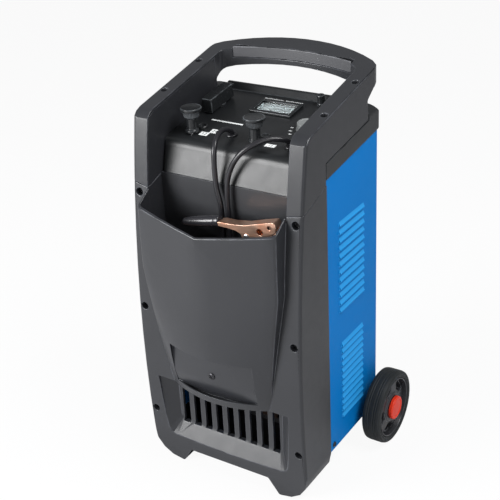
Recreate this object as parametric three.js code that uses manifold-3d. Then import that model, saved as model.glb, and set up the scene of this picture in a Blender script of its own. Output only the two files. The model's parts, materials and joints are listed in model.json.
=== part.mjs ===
// Upright wheeled car battery charger: moulded front cover with a lead pocket, looped handle,
// inclined control panel, louvred sheet-metal body, two rear wheels and two clamp leads.
// Millimetres, +Z up, front towards -Y, floor at z = 0.
import * as THREE from "three";
import { mergeVertices } from "three/addons/utils/BufferGeometryUtils.js";
import Module from "manifold-3d";

const wasm = await Module();
wasm.setup();

// ---------- driving dimensions ----------
const GAP = 0.3; // clearance between pieces that touch
const WALL = 3; // moulded plastic wall
const SHEET = 1.5; // steel sheet

const COVER_HALF = 146; // half width of the plastic cover and handle
const BODY_HALF = 143; // half width of the steel body
const COLUMN_IN = 119.5; // inner face of the two front columns and arms
const COVER_REAR = -41; // rear edge of the cover's side return
const BODY_REAR = 124;
const BODY_BOTTOM = 46;

const BOW_FRONT = -128.7; // most forward point of the bowed front, at BOW_MID
const BOW_MID = 215;
const BOW_SCALE = 65.4;
const CORNER = 5; // vertical front corners of cover and handle
const FOOT_ROUND = 50; // large round at the bottom corners
const SKIRT_BOTTOM = 28;

const SEAM = 490; // joint between cover columns and handle
const SEAM_RISE = 0.33;
const POCKET_FLOOR = 283;
const RIM_SLOPE = 0.641;
const POCKET_CREST = -166; // front of the pocket wall on the centre line
const BULGE_BOTTOM = 165;

const PANEL_Z = 561; // control panel height at y = 0
const PANEL_SLOPE = 0.14;
const HOOD_FRONT = -75;
const HOOD_BOTTOM = 502;

const ARM_Z = 619.5; // top of the arms at y = 0
const ARM_SLOPE = 0.205;
const GRIP_REAR = 169;
const GRIP_BOW = 250; // plan radius of the grip's rear face

const WHEEL_Y = 103.5;
const WHEEL_R = 62.5;
const WHEEL_IN = 157;
const WHEEL_OUT = 189;
const AXLE_R = 6;
const CAP_R = 20;

const LEAD_D = 8;
const COIL_R = 44; // middle radius of a stored coil
const COIL_TURNS = 3.5;
const COIL_PITCH = LEAD_D + 0.1;
const COIL_Y = -98;
const COIL_Z = POCKET_FLOOR + COIL_R + LEAD_D / 2 + 1.2;
const COIL_X = 50;

const bow = (z) => BOW_FRONT + ((z - BOW_MID) / BOW_SCALE) ** 2;
const panelZ = (y) => PANEL_Z + PANEL_SLOPE * y;
const armZ = (y) => ARM_Z + ARM_SLOPE * y;
const rimZ = (y) => SEAM + RIM_SLOPE * (y + 110);
const bodyTop = (y) => 523 + 0.131 * (y + 41);
const shoulderZ = (y) => 548 + 0.154 * (y + 38);

// ---------- materials ----------
function finish(color, roughness, metalness = 0) {
  return new THREE.MeshStandardMaterial({ color, roughness, metalness });
}
const blackPlastic = finish(0x26272b, 0.5);
const panelPlastic = finish(0x1b1c1f, 0.45);
const greyPlastic = finish(0x9a9ca0, 0.5);
const bluePaint = finish(0x0a6cc0, 0.4, 0.1);
const darkSheet = finish(0x1d1e20, 0.6, 0.1);
const rubber = finish(0x2b2c2e, 0.8);
const redPlastic = finish(0xe8401f, 0.4);
const steel = finish(0xb8babd, 0.35, 1);
const copper = finish(0xc97d5f, 0.3, 1);
const paleFace = finish(0xd9dedb, 0.6);
const clearWindow = finish(0xe8f0f0, 0.1);
const winding = finish(0x9c5a2c, 0.4, 0.6);
const lamination = finish(0x55585c, 0.5, 0.8);

// ---------- shape helpers ----------
// Every helper returns a closed BufferGeometry; join, cut and common turn them into solids.
function axis(x, y, z) {
  return new THREE.Vector3(x, y, z);
}

function levels(low, high, steps) {
  return Array.from({ length: steps + 1 }, (_, i) => low + (high - low) * i / steps);
}

const ALONG = {
  x: new THREE.Matrix4().makeBasis(axis(0, 1, 0), axis(0, 0, 1), axis(1, 0, 0)),
  y: new THREE.Matrix4().makeBasis(axis(1, 0, 0), axis(0, 0, 1), axis(0, -1, 0)),
  z: new THREE.Matrix4(),
};

function toSolid(shape) {
  if (!shape.isBufferGeometry) return shape;
  const bare = shape.clone();
  bare.deleteAttribute("normal");
  bare.deleteAttribute("uv");
  const merged = mergeVertices(bare, 1e-4);
  const triangles = [];
  const index = merged.index.array;
  for (let i = 0; i < index.length; i += 3) {
    const [a, b, c] = index.subarray(i, i + 3);
    if (a !== b && b !== c && c !== a) triangles.push(a, b, c);
  }
  const build = (triVerts) => new wasm.Manifold(new wasm.Mesh({
    numProp: 3,
    vertProperties: new Float32Array(merged.attributes.position.array),
    triVerts: new Uint32Array(triVerts),
  }));
  const solid = build(triangles);
  return solid.volume() < 0 ? build(triangles.reverse()) : solid;
}

function join(...shapes) {
  return shapes.map(toSolid).reduce((sum, solid) => sum.add(solid));
}

function cut(first, ...shapes) {
  return shapes.reduce((rest, shape) => rest.subtract(toSolid(shape)), toSolid(first));
}

function common(...shapes) {
  return shapes.map(toSolid).reduce((rest, solid) => rest.intersect(solid));
}

// A closed outline from corners [u, v, radius]; a radius turns its corner into short chords.
function outline(corners, chords = 3) {
  const at = (i) => new THREE.Vector2(...corners.at(i % corners.length));
  return corners.flatMap(([u, v, radius = 0], i) => {
    const corner = new THREE.Vector2(u, v);
    if (!radius) return [corner];
    const back = at(i - 1).sub(corner).normalize();
    const ahead = at(i + 1).sub(corner).normalize();
    const half = Math.acos(THREE.MathUtils.clamp(back.dot(ahead), -1, 1)) / 2;
    const centre = back.clone().add(ahead).setLength(radius / Math.sin(half)).add(corner);
    const start = corner.clone().addScaledVector(back, radius / Math.tan(half));
    const sweep = Math.sign(ahead.cross(back)) * (Math.PI - 2 * half);
    return levels(0, sweep, chords).map((turn) => start.clone().rotateAround(centre, turn));
  });
}

// Extrudes an outline along one axis from low to high. Along x it is drawn in (y, z), along y
// in (x, z) and along z in (x, y). A bevel rounds both ends.
function prism(direction, points, low, high, bevel = 0) {
  const geometry = new THREE.ExtrudeGeometry(new THREE.Shape(points), {
    depth: high - low - 2 * bevel,
    bevelEnabled: bevel > 0,
    bevelThickness: bevel,
    bevelSize: bevel,
    bevelOffset: -bevel,
    bevelSegments: 2,
  });
  geometry.translate(0, 0, bevel + (direction === "y" ? -high : low));
  return geometry.applyMatrix4(ALONG[direction]);
}

function block(x0, x1, y0, y1, z0, z1) {
  const geometry = new THREE.BoxGeometry(x1 - x0, y1 - y0, z1 - z0);
  return geometry.translate((x0 + x1) / 2, (y0 + y1) / 2, (z0 + z1) / 2);
}

// Revolves a profile of [radius, along] points about an axis through a place.
function turned(direction, profile, place = [0, 0, 0], sides = 20) {
  const points = profile.map(([radius, along]) => new THREE.Vector2(radius, along));
  const geometry = new THREE.LatheGeometry(points, sides);
  if (direction === "z") geometry.rotateX(Math.PI / 2);
  if (direction === "x") geometry.rotateZ(-Math.PI / 2);
  return geometry.translate(...place);
}

function rod(direction, radius, low, high, place, sides = 16) {
  return turned(direction, [[0, low], [radius, low], [radius, high], [0, high]], place, sides);
}

function ring(direction, inner, outer, low, high, place, sides = 20) {
  const profile = [[inner, low], [outer, low], [outer, high], [inner, high], [inner, low]];
  return turned(direction, profile, place, sides);
}

// Skins a closed solid over rings of equal point count, in order along the loft.
function loft(rings) {
  const count = rings[0].length;
  const index = [];
  for (let r = 0; r + 1 < rings.length; r++) {
    for (let i = 0; i < count; i++) {
      const a = r * count + i;
      const b = r * count + ((i + 1) % count);
      index.push(a, b, b + count, a, b + count, a + count);
    }
  }
  addCap(index, rings[0], 0, true);
  addCap(index, rings.at(-1), (rings.length - 1) * count, false);
  const geometry = new THREE.BufferGeometry();
  const positions = rings.flat().flatMap((p) => [p.x, p.y, p.z]);
  geometry.setAttribute("position", new THREE.Float32BufferAttribute(positions, 3));
  return geometry.setIndex(index);
}

function addCap(index, points, offset, first) {
  const normal = axis(0, 0, 0);
  points.forEach((p, i) => {
    normal.add(axis(0, 0, 0).crossVectors(p, points[(i + 1) % points.length]));
  });
  const size = { x: Math.abs(normal.x), y: Math.abs(normal.y), z: Math.abs(normal.z) };
  const [u, v] = ["x", "y", "z"].sort((a, b) => size[a] - size[b]);
  const flat = points.map((p) => new THREE.Vector2(p[u], p[v]));
  const over = THREE.ShapeUtils.isClockWise(flat);
  if (over) flat.reverse();
  const real = (i) => offset + (over ? points.length - 1 - i : i);
  for (const [a, b, c] of THREE.ShapeUtils.triangulateShape(flat, [])) {
    index.push(...(over === first ? [a, b, c] : [c, b, a]).map(real));
  }
}

// Sweeps a round section along a smooth curve.
function tube(points, diameter, steps, sides = 10) {
  const section = new THREE.Shape();
  section.absarc(0, 0, diameter / 2, 0, 2 * Math.PI);
  return new THREE.ExtrudeGeometry(section, {
    extrudePath: new THREE.CatmullRomCurve3(points.map((p) => axis(...p))),
    steps,
    curveSegments: sides / 2,
  });
}

const machine = new THREE.Group();

// Adds a named sub-part with a material of its own.
function add(name, material, solid) {
  const mesh = toSolid(solid).getMesh();
  const geometry = new THREE.BufferGeometry();
  geometry.setAttribute("position", new THREE.Float32BufferAttribute(mesh.vertProperties, 3));
  geometry.setIndex(new THREE.BufferAttribute(mesh.triVerts, 1));
  geometry.computeVertexNormals();
  const piece = new THREE.Mesh(geometry, material.clone());
  piece.name = name;
  machine.add(piece);
}

// ---------- front cover ----------
const both = (make) => [-1, 1].map(make);

// Plan section of cover and columns at height z: bowed front, rounded corners, square rear.
function coverRing(z, inset, rear) {
  const half = COVER_HALF - inset;
  const front = bow(z) + inset;
  const radius = CORNER - inset;
  const points = [axis(half, rear, z)];
  for (const side of [1, -1]) {
    for (let i = 0; i <= 4; i++) {
      const turn = (side > 0 ? i : 4 - i) * Math.PI / 8;
      const x = side * (half - radius + radius * Math.cos(turn));
      points.push(axis(x, front + radius - radius * Math.sin(turn), z));
    }
  }
  points.push(axis(-half, rear, z));
  return points;
}

function coverBody(low, high, steps, inset, rear) {
  return loft(levels(low, high, steps).map((z) => coverRing(z, inset, rear)));
}

function frontOutline(inset) {
  const half = COVER_HALF - inset;
  const foot = 92 - inset;
  const gap = 74 - inset;
  return outline([
    [half, 700], [-half, 700], [-half, inset, FOOT_ROUND - inset], [-foot, inset, 3],
    [-gap, SKIRT_BOTTOM + inset, 3], [gap, SKIRT_BOTTOM + inset, 3], [foot, inset, 3],
    [half, inset, FOOT_ROUND - inset],
  ], 4);
}

// Pocket wall: a keel that is sharp at the rim and softens downwards, tapering in plan.
const pocketHalf = (z) => Math.min(COLUMN_IN, 91 + 0.141 * (z - BULGE_BOTTOM));
const pocketRise = (z) => Math.max(0, (z - BULGE_BOTTOM) / 305);

function pocketFace(z, u, inset) {
  const edge = bow(z) - 28 * pocketRise(z) ** 0.8 + inset;
  const sag = Math.max(0, (257 - z) / 85);
  const crest = POCKET_CREST + 13 * sag ** 2 + inset;
  const soft = THREE.MathUtils.clamp((430 - z) / 190, 0.12, 0.95);
  return edge + (crest - edge) * (u * (1 - soft) + soft * (1 - (1 - u) ** 2));
}

function pocketRing(z, inset) {
  const base = pocketHalf(z) - inset;
  const steps = 6;
  const half = [];
  for (let i = 0; i <= steps; i++) {
    const u = i / steps;
    half.push([(base - 1.5) * (1 - u), pocketFace(z, u, inset)]);
  }
  half[0][0] -= 3;
  half[0][1] -= 0.6;
  half.unshift([base - 0.5, pocketFace(z, 0, inset) + 3]);
  half.unshift([base, -100]);
  const left = half.slice(0, -1).map(([x, y]) => [-x, y]).reverse();
  return [...half, ...left].map(([x, y]) => axis(x, y, z));
}

function pocketBody(low, high, steps, inset) {
  return loft(levels(low, high, steps).map((z) => pocketRing(z, inset)));
}

// Scooped panel in the lower pocket wall, and the trough behind its curved lip.
const SCOOP_HALF = 74;
const SCOOP_TOP = 252;
const LIP_TOP = 178;

function scoop(low, high) {
  const heights = [low, 186, 195, 205, 220, high].filter((z) => z >= low);
  return loft(heights.map((z) => {
    const recede = 9 * Math.max(0, (207 - z) / 32) ** 1.3;
    const face = levels(-SCOOP_HALF, SCOOP_HALF, 8).map((x) => (
      axis(x, -149 + 5 * (x / SCOOP_HALF) ** 2 + recede, z)));
    return [axis(SCOOP_HALF, -190, z), axis(-SCOOP_HALF, -190, z), ...face];
  }));
}

// Vent recess: a tray with sloping side walls and a sloping lower ledge.
const VENT_REAR = -107;
const VENT_TOP = BULGE_BOTTOM;
const LEDGE_TOP = 80; // where the sloping ledge meets the slotted wall
const SLOTS = 9;
const SLOT_PITCH = 21.4;
const SLOT_DEPTH = 6;

function ventTray(grow) {
  const section = (topHalf, bottomHalf, bottom, radius, sag, y) => {
    const shape = outline([
      [-topHalf - grow, VENT_TOP + grow], [-bottomHalf - grow, bottom - grow, radius],
      ...[-52, 0, 52].map((x) => [x, bottom - grow - sag * (1 - (x / 100) ** 2)]),
      [bottomHalf + grow, bottom - grow, radius], [topHalf + grow, VENT_TOP + grow],
    ]);
    return shape.map((p) => axis(p.x, y, p.y));
  };
  return loft([
    section(121, 113, 51, 14, 5, -145), section(121, 113, 51, 14, 5, -124),
    section(98, 97, LEDGE_TOP, 8, 0.1, VENT_REAR + grow),
  ]);
}

// The tray's skin, with a thicker wall where the slots are.
const ventSkin = () => join(ventTray(WALL), block(
  -101, 101, VENT_REAR - 2, VENT_REAR + SLOT_DEPTH, LEDGE_TOP - 9, VENT_TOP + WALL));

function ventSlots() {
  return levels(-(SLOTS - 1) / 2, (SLOTS - 1) / 2, SLOTS - 1).map((n) => {
    const x = n * SLOT_PITCH;
    return block(
      x - 6, x + 6, VENT_REAR - 4, VENT_REAR + SLOT_DEPTH + 1, LEDGE_TOP - 4.5, VENT_TOP - 4);
  });
}

// Space above the joint between the columns and the handle; the joint rises outwards.
function aboveSeam(lift) {
  return both((side) => loft([COLUMN_IN - 6, COVER_HALF + 2].map((x) => {
    const base = SEAM + lift + 0.2 * (x - COLUMN_IN);
    const rear = base + SEAM_RISE * 90;
    const corners = [[-200, base], [-103, base], [-13, rear], [300, rear], [300, 900], [-200, 900]];
    return corners.map(([y, z]) => axis(side * x, y, z));
  })));
}

const SCREW_X = 134.5;
const COVER_SCREWS = [480, 291, 97];

function screwPosts(z) {
  return both((side) => rod("y", 8.5, bow(z) + 1, bow(z) + 16, [side * SCREW_X, 0, z], 12));
}

function screwHoles(z) {
  return both((side) => rod("y", 6.2, bow(z) - 5, bow(z) + 10, [side * SCREW_X, 0, z], 12));
}

function frontCover() {
  const rear = COVER_REAR;
  const shell = common(
    coverBody(-2, 540, 9, 0, rear), prism("y", frontOutline(0), -200, rear));
  const inside = common(
    coverBody(-1, POCKET_FLOOR - WALL, 4, WALL, rear + 1),
    prism("y", frontOutline(WALL), -200, rear + 1));
  const columnWall = both((side) => (
    block(side * (COLUMN_IN + 2.5), side * COLUMN_IN, -126, -60, POCKET_FLOOR, 540)));
  const upperInside = coverBody(POCKET_FLOOR, 541, 5, WALL, rear + 1);
  const pocket = join(
    block(-COLUMN_IN, COLUMN_IN, -112, rear + 1, POCKET_FLOOR, 541),
    pocketBody(POCKET_FLOOR, 541, 6, WALL));
  const posts = COVER_SCREWS.flatMap(screwPosts);
  const hollow = cut(inside, ventSkin(), ...posts);
  const columns = cut(upperInside, ...columnWall, ...posts);
  const walls = cut(shell, hollow, columns, ventTray(0));
  const bulge = pocketBody(BULGE_BOTTOM, 541, 11, 0);
  const trough = common(pocketBody(BULGE_BOTTOM + 5, LIP_TOP + 1, 1, WALL), scoop(171, 200));
  const openTop = prism("x", outline([
    [-230, rimZ(-230)], [-20, rimZ(-20)], [-20, 800], [-230, 800],
  ]), -COLUMN_IN, COLUMN_IN);
  return cut(
    join(walls, bulge), pocket, openTop, ...aboveSeam(0), scoop(LIP_TOP, SCOOP_TOP), trough,
    ...ventSlots(), ...COVER_SCREWS.flatMap(screwHoles));
}
add("front_cover", blackPlastic, frontCover());

// ---------- handle ----------
// Side outline of the handle in (y, z), drawn in by an inset all round.
function handleSide(inset) {
  const rear = COVER_REAR - GAP - inset;
  const low = (y) => shoulderZ(y) + GAP + inset;
  const front = levels(560, 470, 6).map((z) => [bow(z) + inset, z]);
  return outline([
    [rear, 470], [rear, low(rear)], [91.5 - inset, low(91.5), 5], [88 - inset, 599 + inset, 5],
    [108, 612.4 + inset], [118, 615.5 + inset], [175, 630 + inset], [175, armZ(175) - inset],
    [-96.5 + inset, armZ(-96.5) - inset, 24 - inset], ...front,
  ]);
}

function bend(radius, half, crown, steps) {
  return levels(half, -half, steps).map((x) => [x, crown - radius + Math.sqrt(radius ** 2 - x ** 2)]);
}

const GRIP_FRONT = 134;
const GRIP_FRONT_BOW = 273;
const INSERT_LOW = 628.5;
const INSERT_HIGH = 645.2;

function handlePlan() {
  return outline([
    [COVER_HALF, -140], [COVER_HALF, 108], [142.5, 121], ...bend(GRIP_BOW, 132, GRIP_REAR, 12),
    [-142.5, 121], [-COVER_HALF, 108], [-COVER_HALF, -140],
  ]);
}

function handleOpening() {
  return outline([
    [COLUMN_IN, -140], [COLUMN_IN, 103, 13], ...bend(GRIP_FRONT_BOW, 100, GRIP_FRONT, 8),
    [-COLUMN_IN, 103, 13], [-COLUMN_IN, -140],
  ]);
}

// A band that follows the front of the grip, from one depth behind it to another.
function gripBand(half, shallow, deep, low, high) {
  const near = bend(GRIP_FRONT_BOW, half, GRIP_FRONT + shallow, 8);
  const far = bend(GRIP_FRONT_BOW, half, GRIP_FRONT + deep, 8);
  return prism("z", outline([...near, ...far.reverse()]), low, high);
}

function armCavity() {
  const keep = block(COLUMN_IN - 1, COVER_HALF - WALL, -140, 84, 460, 700);
  return common(prism("x", handleSide(WALL), COLUMN_IN - 1, COVER_HALF - WALL), keep);
}

const mirrorX = (solid) => toSolid(solid).mirror([1, 0, 0]);

// Screws down through the arms, at [y, z] of the arm's top face.
const ARM_SCREW_X = 136.3;
const ARM_SCREWS = [66, -28];

function armPosts(radius, low, high) {
  return ARM_SCREWS.flatMap((y) => both((side) => rod(
    "z", radius, armZ(y) + low, armZ(y) + high, [side * ARM_SCREW_X, y, 0], 12)));
}

function handleShell() {
  const body = common(
    prism("x", handleSide(0), -COVER_HALF, COVER_HALF, 2.5),
    coverBody(460, 700, 12, 0, 180), prism("z", handlePlan(), 400, 700));
  const cavity = cut(armCavity(), ...armPosts(8.5, -18, 4));
  const below = prism("y", outline([[-200, 0], [200, 0], [200, 480], [-200, 480]]), -300, 300);
  const keep = join(...aboveSeam(GAP), block(-130, 130, -200, 300, 505, 900));
  return cut(
    common(body, keep), prism("z", handleOpening(), 400, 700), cavity, mirrorX(cavity), below,
    gripBand(104, -1, 12, INSERT_LOW - GAP, INSERT_HIGH + GAP), ...armPosts(5.5, -12, 8));
}
add("handle_shell", blackPlastic, handleShell());

function handleLiner(side) {
  const plate = common(
    prism("x", handleSide(WALL + GAP), COLUMN_IN, COLUMN_IN + 2.5),
    block(COLUMN_IN - 1, 140, -140, 84 - GAP, 470, 700), aboveSeam(3 * GAP)[1]);
  return side > 0 ? plate : mirrorX(plate);
}
add("handle_liner_left", blackPlastic, handleLiner(-1));
add("handle_liner_right", blackPlastic, handleLiner(1));
add("grip_insert", greyPlastic, gripBand(104 - GAP, 0.6, 4, INSERT_LOW, INSERT_HIGH));

// ---------- top cover ----------
const RIM_TOP = 586.5;
const RIM_FOOT = 110; // where the rear rim's sloping face meets the panel

function rimSide(inset) {
  return outline([
    [93 + inset, 500], [93 + inset, 585 - inset, 5 - inset], [112, RIM_TOP - inset, 3],
    [126 - inset, 572 - inset / 2, 6 - inset], [129 - inset, 553], [129 - inset, 500],
  ]);
}

function hoodSide(inset) {
  const front = HOOD_FRONT + inset;
  const low = HOOD_BOTTOM - (inset ? 5 : 0);
  return outline([
    [front, low], [front, panelZ(front) - inset, 16 - inset],
    [RIM_FOOT + inset, panelZ(RIM_FOOT) - inset], [117 + inset, RIM_TOP - inset, 3 - inset],
    [122.5, RIM_TOP - inset, 3 - inset], [128 - inset, 575, 3 - inset], [128 - inset, low],
  ]);
}

function shoulderSide(inset) {
  const [front, rear] = [COVER_REAR + inset, 129 - inset];
  return outline([
    [front, bodyTop(front) - inset * 4], [front, shoulderZ(front) - inset],
    [rear, shoulderZ(rear) - inset], [rear, bodyTop(rear) - inset * 4],
  ]);
}

function hoodPlan(half, front, radius) {
  return outline([[half, 140], [half, front, radius], [-half, front, radius], [-half, 140]]);
}

function topPlan(inset) {
  const half = COVER_HALF - inset;
  return prism("z", outline([
    [half, -60], [half, 129 - inset, 7 - inset], [-half, 129 - inset, 7 - inset], [-half, -60],
  ]), 400, 700);
}

function topForm(inset) {
  const half = COVER_HALF - inset;
  const hood = common(
    prism("x", hoodSide(inset), -COLUMN_IN + GAP + inset, COLUMN_IN - GAP - inset),
    prism("z", hoodPlan(COLUMN_IN - GAP - inset, HOOD_FRONT + inset, 9 - inset), 400, 700));
  const rims = both((side) => prism("x", rimSide(inset),
    side > 0 ? 108 : -half, side > 0 ? half : -108));
  const shoulders = prism("x", shoulderSide(inset), -half, half);
  const round = 16 - inset;
  const ends = prism("y", outline([
    [half, 400], [half, RIM_TOP - inset, round], [-half, RIM_TOP - inset, round], [-half, 400],
  ], 4), -60, 140);
  return join(hood, common(join(shoulders, ...rims), topPlan(inset), ends));
}

const belowTop = (lift) => prism("x", outline([
  [COVER_REAR - 1, 300], [200, 300], [200, bodyTop(200) + lift],
  [COVER_REAR - 1, bodyTop(COVER_REAR - 1) + lift],
]), -200, 200);

// Places on the control panel, as [x, y].
const SELECTOR = [-95.5, 54.5];
const DIAL = [75.5, 27];
const FUSE = [60.5, 102];
const LEAD_EXITS = [[-21.6, -23.4], [79.7, -27.6]];
const TERMINALS = [[-84.5, -35.2], [24.5, -32.8]];
const METER = [-0.8, 70];

const PANEL_TILT = Math.atan(PANEL_SLOPE);

function placed(solid, [x, y], z = panelZ(y)) {
  const matrix = new THREE.Matrix4().makeRotationX(PANEL_TILT).setPosition(x, y, z);
  return toSolid(solid).transform(matrix.elements);
}

function topCover() {
  const holes = [
    ...TERMINALS.map(([x, y]) => rod("z", 4.6, -9, 5, [x, y, panelZ(y)], 12)),
    ...LEAD_EXITS.map((at) => placed(rod("z", 7.3, -9, 5, [0, 0, 0], 14), at)),
    placed(rod("z", 4.3, -9, 5, [0, 0, 0], 12), SELECTOR),
    placed(rod("z", 4.3, -9, 5, [0, 0, 0], 12), DIAL),
    placed(block(-33, 33, -17, 17, -9, 5), METER),
  ];
  const under = block(-COLUMN_IN, COLUMN_IN, -200, COVER_REAR - 1, 300, HOOD_BOTTOM);
  return cut(
    topForm(0), topForm(WALL), belowTop(0), under, ...holes,
    placed(rod("z", 5.3, -9, 5, [0, 0, 0], 12), FUSE));
}
add("top_cover", panelPlastic, topCover());

// ---------- body ----------
add("inner_front_panel", blackPlastic, join(
  block(-119.2, 119.2, HOOD_FRONT, -72, POCKET_FLOOR + GAP, HOOD_BOTTOM - GAP),
  ...both((side) => block(
    side > 0 ? 116.2 : -119.2, side > 0 ? 119.2 : -116.2, -74, -62,
    POCKET_FLOOR + GAP, HOOD_BOTTOM - GAP))));

const face = (out) => BODY_HALF + out;

const LOUVRE_GROUPS = [
  { y0: -2, y1: 77, top: 435, pitch: 13.2, count: 12 },
  { y0: 3, y1: 73, top: 226, pitch: 12.1, count: 12 },
];

// One louvre: a wedge pressed outwards and open underneath.
function louvre(y0, y1, z) {
  return prism("y", outline([
    [face(-SHEET), z + 5.6], [face(0), z + 5.6], [face(3), z], [face(3), z - 1.6],
    [face(-SHEET), z - 1.6],
  ]), y0, y1);
}

function louvreMouth(y0, y1, z) {
  return prism("y", outline([
    [face(-SHEET - 1), z + 2.8], [face(0), z + 2.8], [face(1.9), z - 0.4],
    [face(1.9), z - 3], [face(-SHEET - 1), z - 3],
  ]), y0 + 1, y1 - 1);
}

function sidePanel(side) {
  const front = COVER_REAR + GAP;
  const sheet = prism("x", outline([
    [front, BODY_BOTTOM], [front, bodyTop(front) - GAP], [BODY_REAR, bodyTop(BODY_REAR) - GAP],
    [BODY_REAR, BODY_BOTTOM],
  ]), face(-SHEET), face(0));
  const rows = LOUVRE_GROUPS.flatMap(({ y0, y1, top, pitch, count }) => (
    levels(0, count - 1, count - 1).map((n) => [y0, y1, top - pitch * n])));
  const axleHole = rod("x", AXLE_R + 0.4, face(-9), face(9), [0, WHEEL_Y, WHEEL_R], 16);
  const panel = cut(
    join(sheet, ...rows.map((row) => louvre(...row))),
    ...rows.map((row) => louvreMouth(...row)), axleHole);
  return side > 0 ? panel : mirrorX(panel);
}
add("left_side_panel", bluePaint, sidePanel(-1));
add("right_side_panel", bluePaint, sidePanel(1));

const INNER_HALF = BODY_HALF - SHEET - GAP;
const GLAND = [0, 110];
const BASE_FRONT = -99;

add("rear_panel", bluePaint, cut(
  block(-INNER_HALF, INNER_HALF, BODY_REAR - SHEET, BODY_REAR, BODY_BOTTOM, 544),
  rod("y", 8.3, 100, 140, [GLAND[0], 0, GLAND[1]])));
add("base_plate", darkSheet, join(
  block(-INNER_HALF, INNER_HALF, BASE_FRONT, BODY_REAR - SHEET - GAP,
    BODY_BOTTOM, BODY_BOTTOM + SHEET),
  block(-INNER_HALF, INNER_HALF, BASE_FRONT, BASE_FRONT + SHEET,
    BODY_BOTTOM, BODY_BOTTOM + 14)));
add("mains_gland", blackPlastic, turned("y", [
  [4, 116], [11, 116], [11, BODY_REAR - SHEET - GAP], [8, BODY_REAR - SHEET - GAP],
  [8, BODY_REAR + GAP], [12, BODY_REAR + GAP], [12, BODY_REAR + 7], [9, BODY_REAR + 12],
  [4, BODY_REAR + 12], [4, 116],
], [GLAND[0], 0, GLAND[1]], 16));

// ---------- wheels ----------
const WHEEL_MID = (WHEEL_IN + WHEEL_OUT) / 2;
const TYRE_IN = 51;
const SPOKES = 5;

function mirrored(side, solid) {
  return side > 0 ? toSolid(solid) : mirrorX(solid);
}

function wheelDisc() {
  const disc = turned("x", [
    [AXLE_R + GAP, WHEEL_IN], [14, WHEEL_IN], [14, WHEEL_MID - 6], [44, WHEEL_MID - 6],
    [44, WHEEL_IN + 2], [TYRE_IN - GAP, WHEEL_IN + 2], [TYRE_IN - GAP, WHEEL_OUT - 1],
    [47, WHEEL_OUT - 1], [44, WHEEL_OUT - 10], [28, WHEEL_OUT - 8], [24, WHEEL_OUT - 3],
    [AXLE_R + GAP, WHEEL_OUT - 3], [AXLE_R + GAP, WHEEL_IN],
  ], [0, WHEEL_Y, WHEEL_R], 24);
  const pockets = levels(0, SPOKES - 1, SPOKES - 1).map((n) => {
    const turn = n * 2 * Math.PI / SPOKES;
    const pocket = outline([[28, -8, 3], [43, -13, 4], [43, 13, 4], [28, 8, 3]], 1);
    const spun = pocket.map((p) => p.rotateAround(new THREE.Vector2(), turn));
    const moved = spun.map((p) => [p.x + WHEEL_Y, p.y + WHEEL_R]);
    return prism("x", outline(moved), WHEEL_MID - 2, WHEEL_OUT + 2);
  });
  return cut(disc, ...pockets);
}

const tyre = () => turned("x", [
  [TYRE_IN, WHEEL_IN + 2], [TYRE_IN + 3, WHEEL_IN], [WHEEL_R - 4, WHEEL_IN],
  [WHEEL_R - 1, WHEEL_IN + 2.5], [WHEEL_R, WHEEL_IN + 7],
  [WHEEL_R, WHEEL_OUT - 7], [WHEEL_R - 1, WHEEL_OUT - 2.5], [WHEEL_R - 4, WHEEL_OUT],
  [TYRE_IN + 3, WHEEL_OUT], [TYRE_IN, WHEEL_OUT - 2], [TYRE_IN, WHEEL_IN + 2],
], [0, WHEEL_Y, WHEEL_R], 32);

const hubCap = () => turned("x", [
  [0, WHEEL_OUT - 2.7], [CAP_R, WHEEL_OUT - 2.7], [CAP_R, WHEEL_OUT + 2.5],
  [CAP_R - 1.5, WHEEL_OUT + 4], [0, WHEEL_OUT + 4.5],
], [0, WHEEL_Y, WHEEL_R], 20);

for (const [side, hand] of [[-1, "left"], [1, "right"]]) {
  add(`wheel_${hand}`, blackPlastic, mirrored(side, wheelDisc()));
  add(`tyre_${hand}`, rubber, mirrored(side, tyre()));
  add(`hub_cap_${hand}`, redPlastic, mirrored(side, hubCap()));
  add(`spacer_${hand}`, steel, mirrored(side, ring(
    "x", AXLE_R + GAP, 10, face(GAP), WHEEL_IN - GAP, [0, WHEEL_Y, WHEEL_R], 14)));
}
add("axle", steel, rod(
  "x", AXLE_R, -WHEEL_OUT + 3.3, WHEEL_OUT - 3.3, [0, WHEEL_Y, WHEEL_R], 16));

// ---------- controls ----------
const upright = (radius, low, high) => rod("z", radius, low, high, [0, 0, 0], 12);

for (const [i, hand] of [[0, "left"], [1, "right"]]) {
  const [x, y] = TERMINALS[i];
  const base = [x, y, panelZ(y) + 1.6];
  add(`terminal_stud_${hand}`, steel, rod("z", 4, -14, 20, base, 12));
  add(`terminal_knob_${hand}`, blackPlastic, cut(turned("z", [
    [0, GAP], [10.3, GAP], [10.3, 4], [8.2, 5.5], [8.2, 21], [11.5, 24], [13.2, 33], [16, 33.4],
    [16.5, 34.4], [16.5, 37.5], [15.8, 38.5], [12.5, 37.8], [0, 37.2],
  ], base, 20), rod("z", 4.3, -5, 20.3, base, 12)));
  add(`grommet_${hand}`, rubber, placed(ring(
    "z", LEAD_D / 2 + 0.8, 7, -5, 3, [0, 0, 0], 14), LEAD_EXITS[i]));
}

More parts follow.
